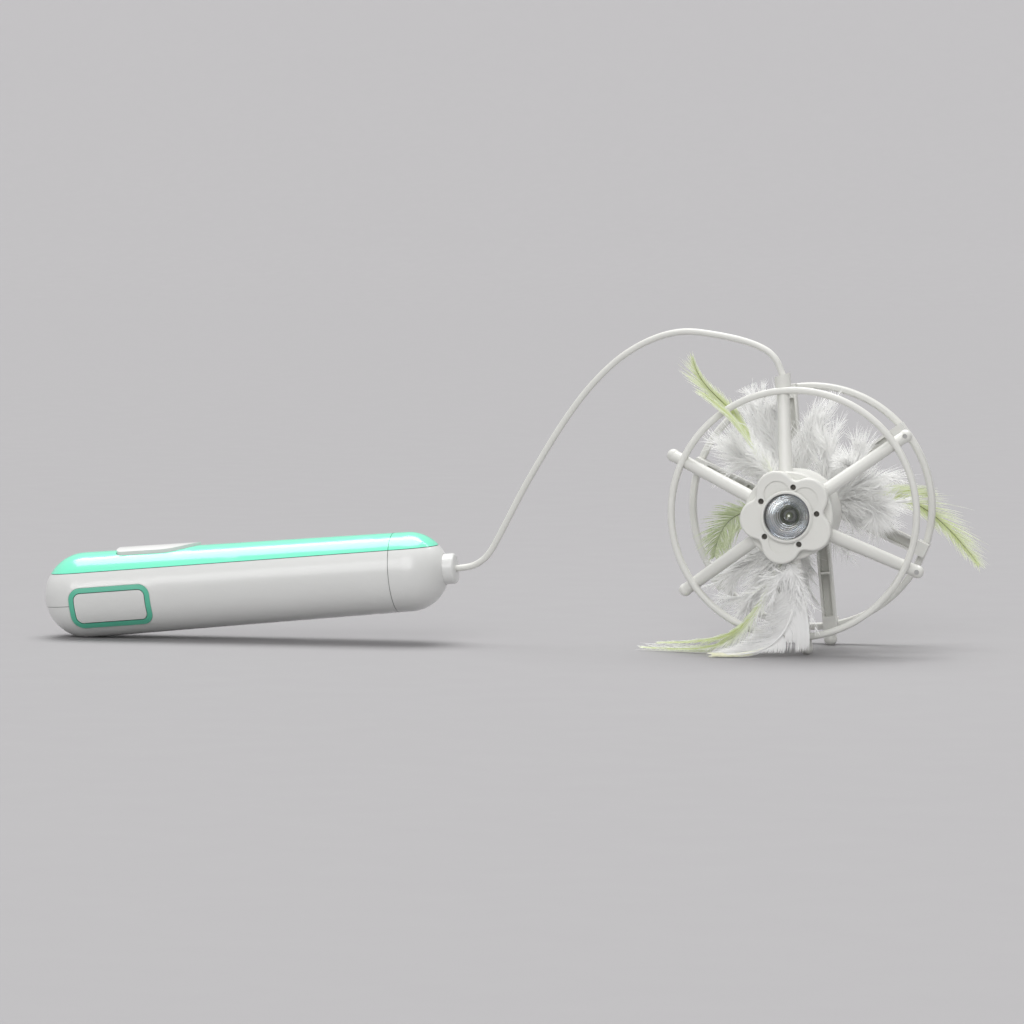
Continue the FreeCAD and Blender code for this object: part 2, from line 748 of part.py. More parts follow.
def front_hub():
    corners = (
        (S.lamp_bore, -hub_front), (S.drum_radius - 0.5, -hub_front), (S.drum_radius, 0.5 - hub_front),
        (S.drum_radius, -S.drum_front), (S.lamp_bore - 1.8, -S.drum_front),
        (S.lamp_bore - 1.8, -board_seat), (S.lamp_bore, -board_seat),
    )
    return turned("front_hub", corners)


ring_middle = S.ring_radius - S.ring_bar / 2
arm_slope = (S.arm_back - S.ring_half + S.arm_behind) / (ring_middle - S.arm_root)
all_arms = arms()
pin_turns = (S.arm_turn.value - 60, S.arm_turn.value - 120)
pin_end = S.tip_radius - S.pin_long
cap_screw_turns = [S.petal_turn.value + 36 + 72 * k for k in range(5)]
shank_end = hub_front - 4.2


def cap_screw_cylinders(radius, front, back):
    """One cylinder per cap screw between two distances before the cage's middle."""
    long = as_size(front) - back
    start = -as_size(front).value
    return [
        cylinder("cap_screw", radius, long, polar(S.cap_screw_circle.value, turn, start), (0, 1, 0))
        for turn in cap_screw_turns
    ]


def front_spider():
    solid = fuse("front_spider", [front_hub(), all_arms])
    drum_space = cylinder("drum_space", S.drum_radius, FAR, (0, -S.drum_front, 0), (0, 1, 0))
    bores = [at_tip("pin_bore", turn, S.pin_radius, pin_end + FAR, FAR) for turn in pin_turns]
    pilots = cap_screw_cylinders(S.cap_pilot, hub_front, shank_end)
    return cut("front_spider", solid, [drum_space, *bores, *pilots])


def arm_pins():
    """Short pins in the two right arms' ends: the upper one sunk, the lower one proud."""
    starts = (S.tip_radius - S.pin_sunk, S.tip_radius + S.pin_proud)
    return group("arm_pins", [
        at_tip("arm_pin", turn, S.pin_radius, start, start - pin_end)
        for turn, start in zip(pin_turns, starts)
    ])


def ring(name, middle, wide, edge):
    corners, arcs = rounded(
        S.ring_radius - S.ring_bar, S.ring_radius, middle - wide / 2, middle + wide / 2, edge
    )
    return turned(name, corners, arcs)


def ferrule():
    """Sleeve on the top arm's end, with a lobe behind and a top that faces the cable."""
    turn = S.arm_turn.value
    out = polar(1.0, turn, 0.0)
    middle = polar(S.ring_radius.value, turn, arm_y(S.ring_radius) + S.ferrule_shift.value)
    top = middle + out * S.ferrule_long.value
    spare = 2.0
    sleeve = cylinder("sleeve", S.ferrule_radius, S.ferrule_long + spare, tuple(middle), tuple(out))
    lobe_place = tuple(middle + V(0, S.ferrule_radius.value - 0.2, 0))
    lobe = cylinder("lobe", S.ferrule_radius - 0.6, S.ferrule_long - 0.9, lobe_place, tuple(out))
    facing_cable = FreeCAD.Placement(top, facing(polar(1.0, turn + S.ferrule_lean.value, 0.0)))
    above = block("above", (-10, -10, 0), (10, 10, 10), facing_cable)
    return cut("ferrule", fuse("ferrule", [sleeve, lobe]), [all_arms, above])


def rear_spider():
    """Hub and six channel ribs beside the radial line, each with a block that grips the ring."""
    front = S.rear_hub_front + 1
    back = front + S.rib_deep
    clip = S.ring_radius - S.clip_long
    ring_middle_back = S.ring_half + 0.6
    web = (S.rear_hub_radius + clip) / 2
    low = S.rib_offset - S.rib_wide / 2
    high = S.rib_offset + S.rib_wide / 2
    hub_back = S.rear_hub_front + S.rear_hub_long
    hub = tube("rear_hub", S.axle_radius, S.rear_hub_radius, S.rear_hub_front, hub_back)
    solids = [hub]
    spaces = [ring("ring_space", S.ring_half, S.rear_bar_wide, 0.9), floor_in_cage]
    for k in range(6):
        turn = about_axle(S.rib_turn.value + 60 * k)
        solids.append(block("rib", (S.axle_radius + 4, front, low), (clip + 1, back, high), turn))
        solids.append(block("clip", (clip, front, low), (S.ring_radius, ring_middle_back, high), turn))
        for start, end in ((S.rear_hub_radius + 1, web - 0.5), (web + 0.5, clip - 1)):
            spaces.append(block(
                "channel",
                (start, front - 1, low + S.rib_wall),
                (end, back - S.rib_wall, high - S.rib_wall),
                turn,
            ))
        if k == 3:
            down = cage_high + S.foot_flat - S.foot_radius
            lean = S.rib_turn - 90
            across = S.rib_offset * cosine(lean) + (down - S.rib_offset) * sine(lean)
            place = V(across.value, (front + S.rib_deep / 2).value, -down.value)
            solids.append(block("shin", (clip, front, low + 1), (down, back, high - 1), turn))
            solids.append(ball("foot", S.foot_radius, place))
    return cut("rear_spider", fuse("rear_spider", solids), spaces)


node("front_spider", front_spider(), CAGE)
node("arm_pins", arm_pins(), CAGE)
front_ring = ring("ring", -S.ring_half, S.front_bar_wide, 1.2)
node("front_ring", cut("front_ring", front_ring, [all_arms]), CAGE)
node("cable_ferrule", ferrule(), CAGE)
node("rear_spider", rear_spider(), CAGE)
node("rear_ring", ring("rear_ring", S.ring_half, S.rear_bar_wide, 0.9), CAGE)


# Lamp


def flower_cap():
    """Five-petalled cap: petals and the hollows between them are tangent arcs."""
    body = new_body("flower_cap")
    sketch = new_sketch(body, "petals", "XZ_Plane", hub_front)
    beside = S.petal_centre * sine(36)
    reach = S.petal_radius + S.notch_radius
    notch_centre = S.petal_centre * cosine(36) + root(reach * reach - beside * beside)
    share = S.petal_radius / reach

    def between(petal_at, notch_at):
        """The point where a petal's arc meets a hollow's arc, from their centres' directions."""
        corner = []
        for part in (cosine, sine):
            middle = S.petal_centre * part(petal_at)
            corner.append(middle + (notch_centre * part(notch_at) - middle) * share)
        return tuple(corner)

    corners = []
    arcs = {}
    for k in range(5):
        turn = S.petal_turn + 72 * k
        arcs[len(corners)] = (S.petal_radius, -1)
        corners.append(between(turn, turn - 36))
        arcs[len(corners)] = (S.notch_radius, 1)
        corners.append(between(turn, turn + 36))
    draw(sketch, corners, arcs)
    pad = body.newObject("PartDesign::Pad", numbered("pad"))
    pad.Profile = sketch
    bind(pad, "Length", S.cap_thick)
    doc.recompute()
    front = -S.lamp_front.value
    rim = [
        f"Edge{i}"
        for i, edge in enumerate(pad.Shape.Edges, start=1)
        if all(abs(v.Point.y - front) < 1e-6 for v in edge.Vertexes)
    ]
    fillet = body.newObject("PartDesign::Fillet", numbered("rim"))
    fillet.Base = (pad, rim)
    bind(fillet, "Radius", S.cap_round)
    body.Tip = fillet
    dish_turns = [S.petal_turn.value + 72 * k for k in (0, 1, 3)]
    dish_floor = S.lamp_front - S.dish_deep
    dish_start = -dish_floor.value
    tools = [
        cylinder("dish", S.dish_radius, FAR, polar(S.dish_centre.value, turn, dish_start), (0, -1, 0))
        for turn in dish_turns
    ]
    tools.append(cylinder("lamp_bore", S.lamp_bore, FAR, (0, -hub_front, 0), (0, -1, 0)))
    tools += cap_screw_cylinders(S.cap_hole, S.lamp_front + 1, hub_front + 1.4)
    tools += cap_screw_cylinders(S.cap_pilot + 0.05, S.lamp_front, hub_front)
    return cut("flower_cap", body, tools)


lens_back = S.lamp_front - 1.4
lens_front = lens_back + S.lens_thick


def reflector():
    """Cone-shaped cup between the light board and the lens."""
    back = board_seat + S.board_thick
    corners = (
        (2.4, -back), (4.4, -back), (S.lens_radius, -lens_back + 1.6), (S.lens_radius, -lens_back),
        (S.lens_radius - 0.8, -lens_back),
    )
    return turned("reflector", corners)


def lens():
    dome = lens_front + S.lens_rise
    sphere = (S.lens_radius * S.lens_radius + S.lens_rise * S.lens_rise) / (S.lens_rise * 2)
    corners = ((0, -dome), (0, -lens_back), (S.lens_radius, -lens_back), (S.lens_radius, -lens_front))
    return turned("lens", corners, {3: (sphere, 1)})


def lens_bezel():
    front = S.lamp_front + S.bezel_proud
    corners = (
        (S.lens_radius, -S.lamp_front), (S.bezel_radius, -S.lamp_front),
        (S.bezel_radius, 0.5 - front), (S.bezel_radius - 0.5, -front), (S.lens_radius + 0.2, -front),
        (S.lens_radius + 0.05, -lens_front),
    )
    return turned("lens_bezel", corners, {2: (0.5, -1)})


def led_chip():
    back = board_seat + S.board_thick
    r = S.led_radius
    corners = ((0, -back), (r, -back), (r, -back - 0.8), (0, -back - 0.8 - r))
    return turned("led_chip", corners, {2: (r, 1)})


node("flower_cap", flower_cap(), CAGE)
node(
    "cap_screws",
    group("cap_screws", [
        fuse("cap_screw", [head, shank])
        for head, shank in zip(
            cap_screw_cylinders(S.cap_hole - 0.05, hub_front + 2.6, hub_front + 1.4),
            cap_screw_cylinders(S.cap_pilot, hub_front + 1.4, shank_end + 0.2),
        )
    ]),
    CAGE,
)
node("lens_bezel", lens_bezel(), CAGE)
node("lamp_lens", lens(), CAGE)
node("lamp_reflector", reflector(), CAGE)
board_front = -board_seat - S.board_thick
node("lamp_board", tube("lamp_board", 0, S.lamp_bore - 0.1, board_front, -board_seat), CAGE)
node("led_chip", led_chip(), CAGE)


# Drum, motor and gears

PRESSURE = math.radians(25.0)
ADDENDUM = 0.8
DEDENDUM = 1.1


def involute(base, radius):
    """Angle by which an involute has turned when it reaches a radius."""
    if radius <= base:
        return 0.0
    roll = math.sqrt((radius / base) ** 2 - 1)
    return roll - math.atan(roll)


def gear_blank(name, teeth, bore, start, wide, phase, centre):
    """A spur gear about an axis along Y, its first tooth at the phase angle in degrees."""
    count = int(round(teeth.value))
    pitch = S.module.value * count / 2
    base = pitch * math.cos(PRESSURE)
    root = pitch - DEDENDUM * S.module.value
    tip = pitch + ADDENDUM * S.module.value
    half_tooth = (math.pi * S.module.value / 2 - S.gear_play.value) / 2 / pitch + involute(base, pitch)
    low = max(base, root)

    def spot(radius, turn):
        return V(radius * math.cos(turn), 0, radius * math.sin(turn))

    edges = []
    for k in range(count):
        middle = math.radians(phase) + 2 * math.pi * k / count
        following = middle + 2 * math.pi / count
        halves = [half_tooth - involute(base, r) for r in (low, (low + tip) / 2, tip)]
        radii = (low, (low + tip) / 2, tip)
        rising = [spot(r, middle - h) for r, h in zip(radii, halves)]
        falling = [spot(r, middle + h) for r, h in zip(reversed(radii), reversed(halves))]
        if root < low - 1e-6:
            edges.append(Part.LineSegment(spot(root, middle - halves[0]), rising[0]).toShape())
        edges.append(Part.Arc(*rising).toShape())
        edges.append(Part.Arc(rising[2], spot(tip, middle), falling[0]).toShape())
        edges.append(Part.Arc(*falling).toShape())
        if root < low - 1e-6:
            edges.append(Part.LineSegment(falling[2], spot(root, middle + halves[0])).toShape())
        valley = spot(root, (middle + following) / 2)
        next_foot = spot(root, following - halves[0])
        edges.append(Part.Arc(spot(root, middle + halves[0]), valley, next_foot).toShape())
    face = Part.Face(Part.Wire(edges))
    solid = face.extrude(V(0, wide, 0))
    if bore:
        solid = solid.cut(Part.makeCylinder(bore, wide, V(0, 0, 0), V(0, 1, 0)))
    feature = doc.addObject("Part::Feature", numbered(name))
    feature.Shape = solid
    feature.Placement = FreeCAD.Placement(centre + V(0, start, 0), FreeCAD.Rotation())
    return feature


centre_gap = (S.module * (S.pinion_teeth + S.wheel_teeth)) / 2 + S.run_gap
motor_place = polar(centre_gap.value, S.motor_turn.value, 0.0)
gear_front = S.plate_back - 0.7


def drum():
    bore = S.drum_radius - S.drum_wall
    step = bore - S.ledge
    front, back, plate = -S.drum_front, -S.drum_rear, -S.plate_back
    corners = (
        (bore, front), (S.drum_radius, front), (S.drum_radius, back - 1.0), (S.drum_radius - 1.0, back),
        (S.sleeve_radius + 0.4, back), (S.sleeve_radius + 0.4, back - S.drum_wall),
        (step, back - S.drum_wall), (step, plate), (bore, plate),
    )
    return turned("drum", corners, {2: (1.0, 1)})


def motor_plate():
    front = -S.plate_back - S.plate_thick
    plate = tube("plate", S.axle_radius, S.drum_radius - S.drum_wall - 0.05, front, -S.plate_back)
    hole = cylinder("shaft_hole", S.shaft_radius + S.run_gap, FAR, motor_place - V(0, 60, 0), (0, 1, 0))
    return cut("motor_plate", plate, [hole])


motor_front = S.plate_back + S.plate_thick
node("drum_housing", drum(), CAGE)
node("motor_plate", motor_plate(), CAGE)
motor_nose = motor_place - V(0, S.drum_front.value, 0)
motor = cylinder("motor", S.motor_radius, S.drum_front - motor_front, motor_nose, (0, 1, 0))
node("drive_motor", motor, CAGE)
pinion_gear = gear_blank(
    "pinion", S.pinion_teeth, 0.0, -gear_front.value - 0.1, S.gear_wide.value + 0.2,
    S.motor_turn.value + 180 + 180 / S.pinion_teeth.value, motor_place,
)
pinion_shaft = cylinder(
    "pinion_shaft", S.shaft_radius, motor_front - 0.1 - gear_front + S.gear_wide + 0.6,
    motor_place - V(0, (motor_front - 0.1).value, 0), (0, 1, 0),
)
node("motor_pinion", fuse("pinion", [pinion_gear, pinion_shaft]), CAGE)
node(
    "rotor_gear",
    gear_blank(
        "rotor_gear", S.wheel_teeth, S.sleeve_radius.value, -gear_front.value, S.gear_wide.value,
        S.motor_turn.value, V(0, 0, 0),
    ),
    CAGE,
)


# Axle and rotor


def axle():
    head = -motor_front - 1.5
    corners = (
        (0, head), (S.axle_head, head), (S.axle_head, -motor_front), (S.axle_radius, -motor_front),
        (S.axle_radius, S.axle_end), (0, S.axle_end),
    )
    return turned("axle", corners)


def axle_nut():
    """Domed nut on the axle's rear end."""
    start = S.rear_hub_front + S.rear_hub_long
    body = new_body("axle_nut")
    sketch = new_sketch(body, "hexagon", "XZ_Plane", -start)
    across = S.nut_face / 2
    corner = across * (2 / math.sqrt(3))
    corners = (
        (corner, 0), (corner / 2, across), (-corner / 2, across),
        (-corner, 0), (-corner / 2, -across), (corner / 2, -across),
    )
    draw(sketch, corners)
    pad = body.newObject("PartDesign::Pad", numbered("pad"))
    pad.Profile = sketch
    pad.Reversed = True
    bind(pad, "Length", S.nut_long)
    dome_base = start + S.nut_long
    dome = turned(
        "nut_dome",
        ((0, dome_base), (across - 0.3, dome_base), (0, dome_base + 1.4)),
        {1: (6.0, -1)},
    )
    thread = cylinder("thread", S.axle_radius, S.axle_end - start, (0, start, 0), (0, 1, 0))
    return cut("axle_nut", fuse("axle_nut", [body, dome]), [thread])


bush_outer = S.axle_radius + S.run_gap + S.bush_thick


def rotor_hub():
    corners = (
        (bush_outer, -gear_front), (S.sleeve_radius, -gear_front), (S.sleeve_radius, -S.barrel_front),
        (S.barrel_radius, -S.barrel_front), (S.barrel_radius, S.barrel_rear), (bush_outer, S.barrel_rear),
    )
    return turned("rotor_hub", corners)


def bush(start):
    return tube("bush", S.axle_radius + S.run_gap, bush_outer, start, start + S.bush_long)


def washer(start, end):
    return tube("washer", S.axle_radius, S.sleeve_radius, start, end)


node("axle", axle(), CAGE)
node("axle_nut", axle_nut(), CAGE)
node(
    "thrust_washers",
    group("washers", [
        washer(-S.plate_back, -gear_front - S.washer_gap),
        washer(S.barrel_rear + S.washer_gap, S.rear_hub_front),
    ]),
    CAGE,
)
node("rotor_hub", rotor_hub(), CAGE)
node("front_bush", bush(-gear_front), CAGE)
node("rear_bush", bush(S.barrel_rear - S.bush_long), CAGE)


# Feathers: plain closed solids of the right size and place


def bend(points, share):
    """A point and direction on the curve that three or four control points draw."""
    count = len(points) - 1
    place = V(0, 0, 0)
    for i, p in enumerate(points):
        place += p * (math.comb(count, i) * share**i * (1 - share) ** (count - i))
    slope = V(0, 0, 0)
    for i in range(count):
        weight = math.comb(count - 1, i) * share**i * (1 - share) ** (count - 1 - i)
        slope += (points[i + 1] - points[i]) * (weight * count)
    return place, slope.normalize()


def feather(name, points, widths, thick, sides=8):
    """A leaf-shaped solid along a curve. widths are half widths at even steps; thick is half."""
    rings = []
    for i, half in enumerate(widths):
        place, along = bend(points, i / (len(widths) - 1))
        across = along.cross(V(0, 1, 0)).normalize()
        depth = across.cross(along).normalize()
        deep = thick(half) if callable(thick) else thick
        corners = []
        for k in range(sides):
            turn = 2 * math.pi * (k + 0.5) / sides
            corners.append(place + across * (half * math.cos(turn)) + depth * (deep * math.sin(turn)))
        rings.append(Part.makePolygon(corners + [corners[0]]))
    feature = doc.addObject("Part::Feature", numbered(name))
    feature.Shape = Part.makeLoft(rings, True, True)
    return feature


BUNCHES = (
    # Name, direction in degrees, reach as a share of the ring's radius
    ("upper_marabou", 116.0, 1.05),
    ("side_marabou", 14.0, 0.88),
    ("lower_marabou", 252.0, 1.03),
)
BUNCH_WIDTHS = (0.024, 0.085, 0.21, 0.3, 0.32, 0.225, 0.075)
BUNCH_DEPTH = 0.135
BUNCH_MIDDLE = 2.0
OLIVE_TURN = 186.0
OLIVE_REACH = 0.86
OLIVE_WIDTHS = (0.023, 0.128, 0.21, 0.245, 0.22, 0.128, 0.023)


def bunch(name, turn, share):
    """A fluffy bunch: half widths are shares of its reach, and its depth is limited."""
    reach = share * S.ring_radius.value
    start = polar(S.clamp_end.value, turn, BUNCH_MIDDLE)
    end = polar(reach, turn, BUNCH_MIDDLE)
    middle = (start + end) * 0.5
    widths = [reach * wide for wide in BUNCH_WIDTHS]
    return feather(name, (start, middle, end), widths, lambda half: min(half, BUNCH_DEPTH * reach))


def olive_hackle():
    reach = OLIVE_REACH * S.ring_radius.value
    points = (
        polar(S.clamp_end.value, OLIVE_TURN, BUNCH_MIDDLE),
        polar(0.63 * reach, OLIVE_TURN, BUNCH_MIDDLE),
        polar(reach, OLIVE_TURN + 2, BUNCH_MIDDLE + 3),
    )
    return feather("olive_hackle", points, [reach * wide for wide in OLIVE_WIDTHS], S.vane_thick.value)


def clamp(turn):
    """Short sleeve on the barrel that grips a bunch's quills."""
    start = polar(S.barrel_radius.value - 1.0, turn, BUNCH_MIDDLE)
    out = polar(1.0, turn, 0.0)
    return cylinder("clamp", S.clamp_radius, S.clamp_end - S.barrel_radius + 1, tuple(start), tuple(out))


clamp_turns = [turn for _, turn, _ in BUNCHES] + [OLIVE_TURN]
for name, turn, share in BUNCHES:
    node(name, bunch(name, turn, share), CAGE)
node("olive_hackle", olive_hackle(), CAGE)
barrel_space = cylinder("barrel_space", S.barrel_radius, 60.0, (0, -30, 0), (0, 1, 0))
node(
    "feather_clamps",
    cut("clamps", fuse("clamps", [clamp(turn) for turn in clamp_turns]), [barrel_space]),
    CAGE,
)

hub_middle = -(hub_front + S.drum_front).value / 2
rear_hub_back = (S.rear_hub_front + S.rear_hub_long + S.vane_thick).value + 0.05
STREAMERS = (
    # Name, the quill's root, then points as shares of the ring's radius in X and Z and of the
    # distance to the rings in Y, and half widths
    (
        "upper_hackle",
        polar(S.drum_radius.value + 0.25, 121.2, hub_middle),
        ((-0.418, -1.269, 0.657), (-0.618, -1.154, 0.936), (-0.847, -1.038, 1.245)),
        (0.5, 0.5, 0.6, 2.0, 3.6, 4.2, 3.4, 0.6),
    ),
    (
        "side_hackle",
        polar(S.rear_hub_radius.value - 1.5, 10.6, rear_hub_back),
        ((0.558, 1.173, 0.299), (0.996, 1.269, 0.08), (1.325, 1.288, -0.418)),
        (0.5, 0.5, 1.5, 4.5, 6.5, 7.0, 5.0, 0.8),
    ),
    (
        "lower_hackle",
        polar(S.drum_radius.value + 0.25, 242.9, hub_middle),
        ((-0.239, -1.269, -0.657), (-0.458, -1.173, -1.056), (-1.275, -0.846, -1.064)),
        (0.5, 0.8, 2.0, 3.6, 3.6, 2.8, 1.8, 0.4),
    ),
    (
        "lower_plume",
        polar(S.drum_radius.value + 0.25, 263.4, hub_middle - 2.4),
        ((0.06, -1.47, -0.598), (-0.02, -1.41, -0.876), (-0.199, -1.308, -1.036)),
        (0.5, 2.5, 5.5, 8.0, 9.0, 8.0, 5.5, 1.2),
    ),
    (
        "cream_hackle",
        polar(S.drum_radius.value + 0.25, 254.7, hub_middle - 0.8),
        ((-0.199, -1.481, -0.677), (-0.279, -1.577, -1.036), (-0.598, -1.769, -1.084)),
        (0.5, 0.5, 1.2, 2.4, 2.8, 2.4, 1.6, 0.4),
    ),
)
for name, quill_root, shares, widths in STREAMERS:
    spots = [
        V(x * S.ring_radius.value, y * S.ring_half.value, z * S.ring_radius.value)
        for x, y, z in shares
    ]
    node(name, feather(name, (quill_root, *spots), widths, S.vane_thick.value, sides=6), CAGE)


# Cable

# Chosen by eye from the photograph, from the gland's face to inside the ferrule, in the frame of
# the whole object.
CABLE_POINTS = (
    (-17.261, 0.24, 30.692), (-12.578, 0.24, 31.093), (-7.89, -0.56, 32.8), (-3.19, -1.36, 36.6),
    (2.81, -2.16, 47.5), (13.31, -3.36, 67.5), (32.01, -5.46, 97.1), (48.01, -7.36, 114.5),
    (62.51, -8.96, 123.7), (77.21, -10.66, 128.0), (92.31, -12.36, 126.1), (103.84, -13.76, 123.7),
    (111.72, -15.06, 120.5), (115.03, -15.86, 117.7), (117.127, -16.034, 114.382),
    (118.33, -16.034, 110.567),
)


def cable():
    """Straight runs joined by tangent arcs, each arc as large as its two runs allow."""
    points = [V(*p) for p in CABLE_POINTS]
    edges = []
    radii = []
    last = points[0]
    for before, corner, after in zip(points, points[1:], points[2:]):
        back = (before - corner).normalize()
        on = (after - corner).normalize()
        turn = math.pi - back.getAngle(on)
        reach = 0.45 * min((before - corner).Length, (after - corner).Length)
        radius = reach / math.tan(turn / 2)
        start = corner + back * reach
        end = corner + on * reach
        inward = (back + on).normalize()
        middle = corner + inward * (radius / math.cos(turn / 2) - radius)
        edges.append(Part.LineSegment(last, start).toShape())
        edges.append(Part.Arc(start, middle, end).toShape())
        radii.append(round(radius, 1))
        last = end
    edges.append(Part.LineSegment(last, points[-1]).toShape())
    path = Part.Wire(edges)
    first = (points[1] - points[0]).normalize()
    section = Part.Wire(Part.makeCircle(S.cable_radius.value, points[0], first))
    solid = path.makePipeShell([section], True, False)
    feature = doc.addObject("Part::Feature", numbered("cable"))
    feature.Shape = solid
    share = solid.Volume / (math.pi * S.cable_radius.value**2 * path.Length)
    print("cable length", round(path.Length, 1), "radii", radii, "volume share", round(share, 4))
    return feature


node("wand_cable", cable(), FreeCAD.Placement())


# Check and write

doc.recompute()
for thing in doc.Objects:
    if "Invalid" in thing.State or "Error" in thing.State:
        raise RuntimeError(f"{thing.Name} ({thing.Label}) is {thing.State}")
os.makedirs("parts", exist_ok=True)
low = [math.inf] * 3
high = [-math.inf] * 3
for name, thing in nodes.items():
    shape = thing.Shape
    if shape.isNull() or not shape.isValid() or not shape.Solids:
        raise RuntimeError(f"{name} has no valid solid")
    if name != "wand_cable":
        box = shape.BoundBox
        low = [min(a, b) for a, b in zip(low, (box.XMin, box.YMin, box.ZMin))]
        high = [max(a, b) for a, b in zip(high, (box.XMax, box.YMax, box.ZMax))]
    shape.exportStep(f"parts/{name}.step")
print(len(nodes), "pieces; box without the cable", [round(v, 2) for v in low + high])
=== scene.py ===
import json
import math

import bpy
import numpy as np
from mathutils import Euler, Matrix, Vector

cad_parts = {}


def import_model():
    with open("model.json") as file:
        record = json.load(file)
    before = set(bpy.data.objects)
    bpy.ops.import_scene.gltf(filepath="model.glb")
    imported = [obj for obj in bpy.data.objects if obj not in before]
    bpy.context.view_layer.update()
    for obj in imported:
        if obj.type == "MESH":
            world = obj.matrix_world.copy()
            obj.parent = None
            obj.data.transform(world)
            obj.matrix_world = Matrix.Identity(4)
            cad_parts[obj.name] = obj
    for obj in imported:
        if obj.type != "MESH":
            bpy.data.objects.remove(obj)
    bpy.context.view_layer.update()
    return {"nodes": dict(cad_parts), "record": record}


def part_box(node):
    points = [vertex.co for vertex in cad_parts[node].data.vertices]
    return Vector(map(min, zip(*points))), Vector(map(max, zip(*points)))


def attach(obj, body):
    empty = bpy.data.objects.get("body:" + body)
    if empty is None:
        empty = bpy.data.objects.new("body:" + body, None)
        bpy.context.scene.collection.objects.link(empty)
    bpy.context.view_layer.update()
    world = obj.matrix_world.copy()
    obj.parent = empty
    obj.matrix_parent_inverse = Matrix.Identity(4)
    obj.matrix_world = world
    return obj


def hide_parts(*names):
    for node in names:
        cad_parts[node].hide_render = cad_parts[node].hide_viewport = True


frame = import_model()

bl_info = {
    "name": "Cat Teaser Wand",
    "version": (1, 0, 0),
    "blender": (4, 5, 0),
    "location": "View3D > Sidebar > Wand",
    "description": "Dresses the wand: plastics, lamp, cable, feathers and stage",
    "category": "Object",
}

MM = 0.001

# The axle's middle, halfway between the two rings
ring_boxes = [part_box(name) for name in ("front_ring", "rear_ring")]
ring_middle = sum((low + high for low, high in ring_boxes), Vector()) / 4
CAGE = np.array([ring_middle.x, ring_middle.y, ring_middle.z])

# The handle's own frame: its tail end on the axis and its slope
HANDLE = Vector((-172.89, 0.24, 17.35)) * MM
HANDLE_PITCH = math.radians(4.9)
HANDLE_ALONG = Vector((math.cos(HANDLE_PITCH), 0.0, math.sin(HANDLE_PITCH)))
HANDLE_UP = Vector((-math.sin(HANDLE_PITCH), 0.0, math.cos(HANDLE_PITCH)))


# Sizes, colours and stage that a user would change


def number(name, about, default):
    """A property without a unit."""
    return bpy.props.FloatProperty(name=name, description=about, default=default)


def metres(name, about, default):
    """A length property."""
    return bpy.props.FloatProperty(name=name, description=about, default=default, unit="LENGTH")


def degrees(name, about, default):
    """An angle property, its default given in degrees."""
    return bpy.props.FloatProperty(
        name=name, description=about, default=math.radians(default), subtype="ANGLE"
    )


def colour(name, about, default):
    """A colour property, in linear light."""
    return bpy.props.FloatVectorProperty(
        name=name, description=about, default=default, subtype="COLOR", size=3, min=0.0, max=1.0
    )


class WandSizes(bpy.types.PropertyGroup):
    cable_diameter: metres("Cable", "Diameter of the cable", 0.0026)
    cable_length: metres("Cable length", "Length of the cable", 0.1898)
    # The handle's seams are drawn as lines of painted shade; this is half their width
    seam_shade_half: metres("Seam", "Half the width of the handle's seams", 0.00016)
    down_width: metres("Down barb", "Width of a down barb at its root", 0.00034)
    vane_width: metres("Vane barb", "Width of a vane barb at its root", 0.00036)


class WandColours(bpy.types.PropertyGroup):
    white: colour("Handle", "White plastic of the handle", (0.675, 0.68, 0.665))
    cage: colour("Cage", "Off-white plastic of the cage and flower", (0.675, 0.675, 0.64))
    mint: colour("Mint", "Mint plastic of the cover", (0.185, 0.79, 0.54))
    bezel: colour("Button ring", "Deeper mint of the side button's ring", (0.10, 0.47, 0.32))
    down: colour("Down", "White of the fluffy feathers", (0.99, 0.99, 0.985))
    leaf: colour("Green vane", "Green beside a hackle's shaft", (0.76, 0.83, 0.41))
    pale: colour("Pale vane", "Pale ends of a hackle's barbs", (0.90, 0.93, 0.78))
    cream: colour("Cream vane", "Cream of the plume's tip", (0.95, 0.95, 0.80))
    olive: colour("Olive vane", "Dull green of the feather on the rotor", (0.60, 0.67, 0.42))


class WandStage(bpy.types.PropertyGroup):
    lens: number("Lens", "Focal length in mm", 160.4)
    azimuth: degrees("Azimuth", "Turn of the view", 11.9)
    elevation: degrees("Elevation", "Tilt of the view", 3.6)
    floor: colour("Floor", "Pale grey of the floor", (0.329, 0.323, 0.329))
    sky: number("Fill", "Strength of the even light", 0.52)
    sun: number("Key", "Strength of the soft key light", 2.9)
    front: number("Front", "Strength of the front light", 1.13)
    snoot: number("Snoot", "Power of the cage's own light", 11.3)


# Shader nodes

# Sockets of a Mix node that holds colours
MIX_FACTOR, MIX_FIRST, MIX_SECOND, MIX_RESULT = 0, 6, 7, 2

# Fine skin of moulded plastic: grains to the metre and their depth in metres
SKIN_GRAINS = 2600.0
SKIN_DEPTH = 0.000012

# Painted shade of a seam's gap: what the painted line leaves of the colour
SEAM_SHADE = (0.16, 0.17, 0.165, 1.0)

# Turned ribs: a sine of the radius times this, and their depth in metres
RIB_TURNS = 9000.0
RIB_DEPTH = 0.00005

# Drift of blue and amber in a coated mirror, in stops along a soft noise
MIRROR_TINTS = (
    (0.3, (0.86, 0.91, 1.0, 1.0)), (0.45, (0.97, 0.99, 1.0, 1.0)),
    (0.6, (1.0, 1.0, 1.0, 1.0)), (0.7, (1.0, 0.96, 0.9, 1.0)),
)


def shader_node(tree, kind, inputs=None, **settings):
    """One shader node. Inputs given as sockets are linked, and others are set."""
    item = tree.nodes.new(kind)
    for key, value in settings.items():
        setattr(item, key, value)
    for key, value in (inputs or {}).items():
        if isinstance(value, bpy.types.NodeSocket):
            tree.links.new(value, item.inputs[key])
        else:
            item.inputs[key].default_value = value
    return item


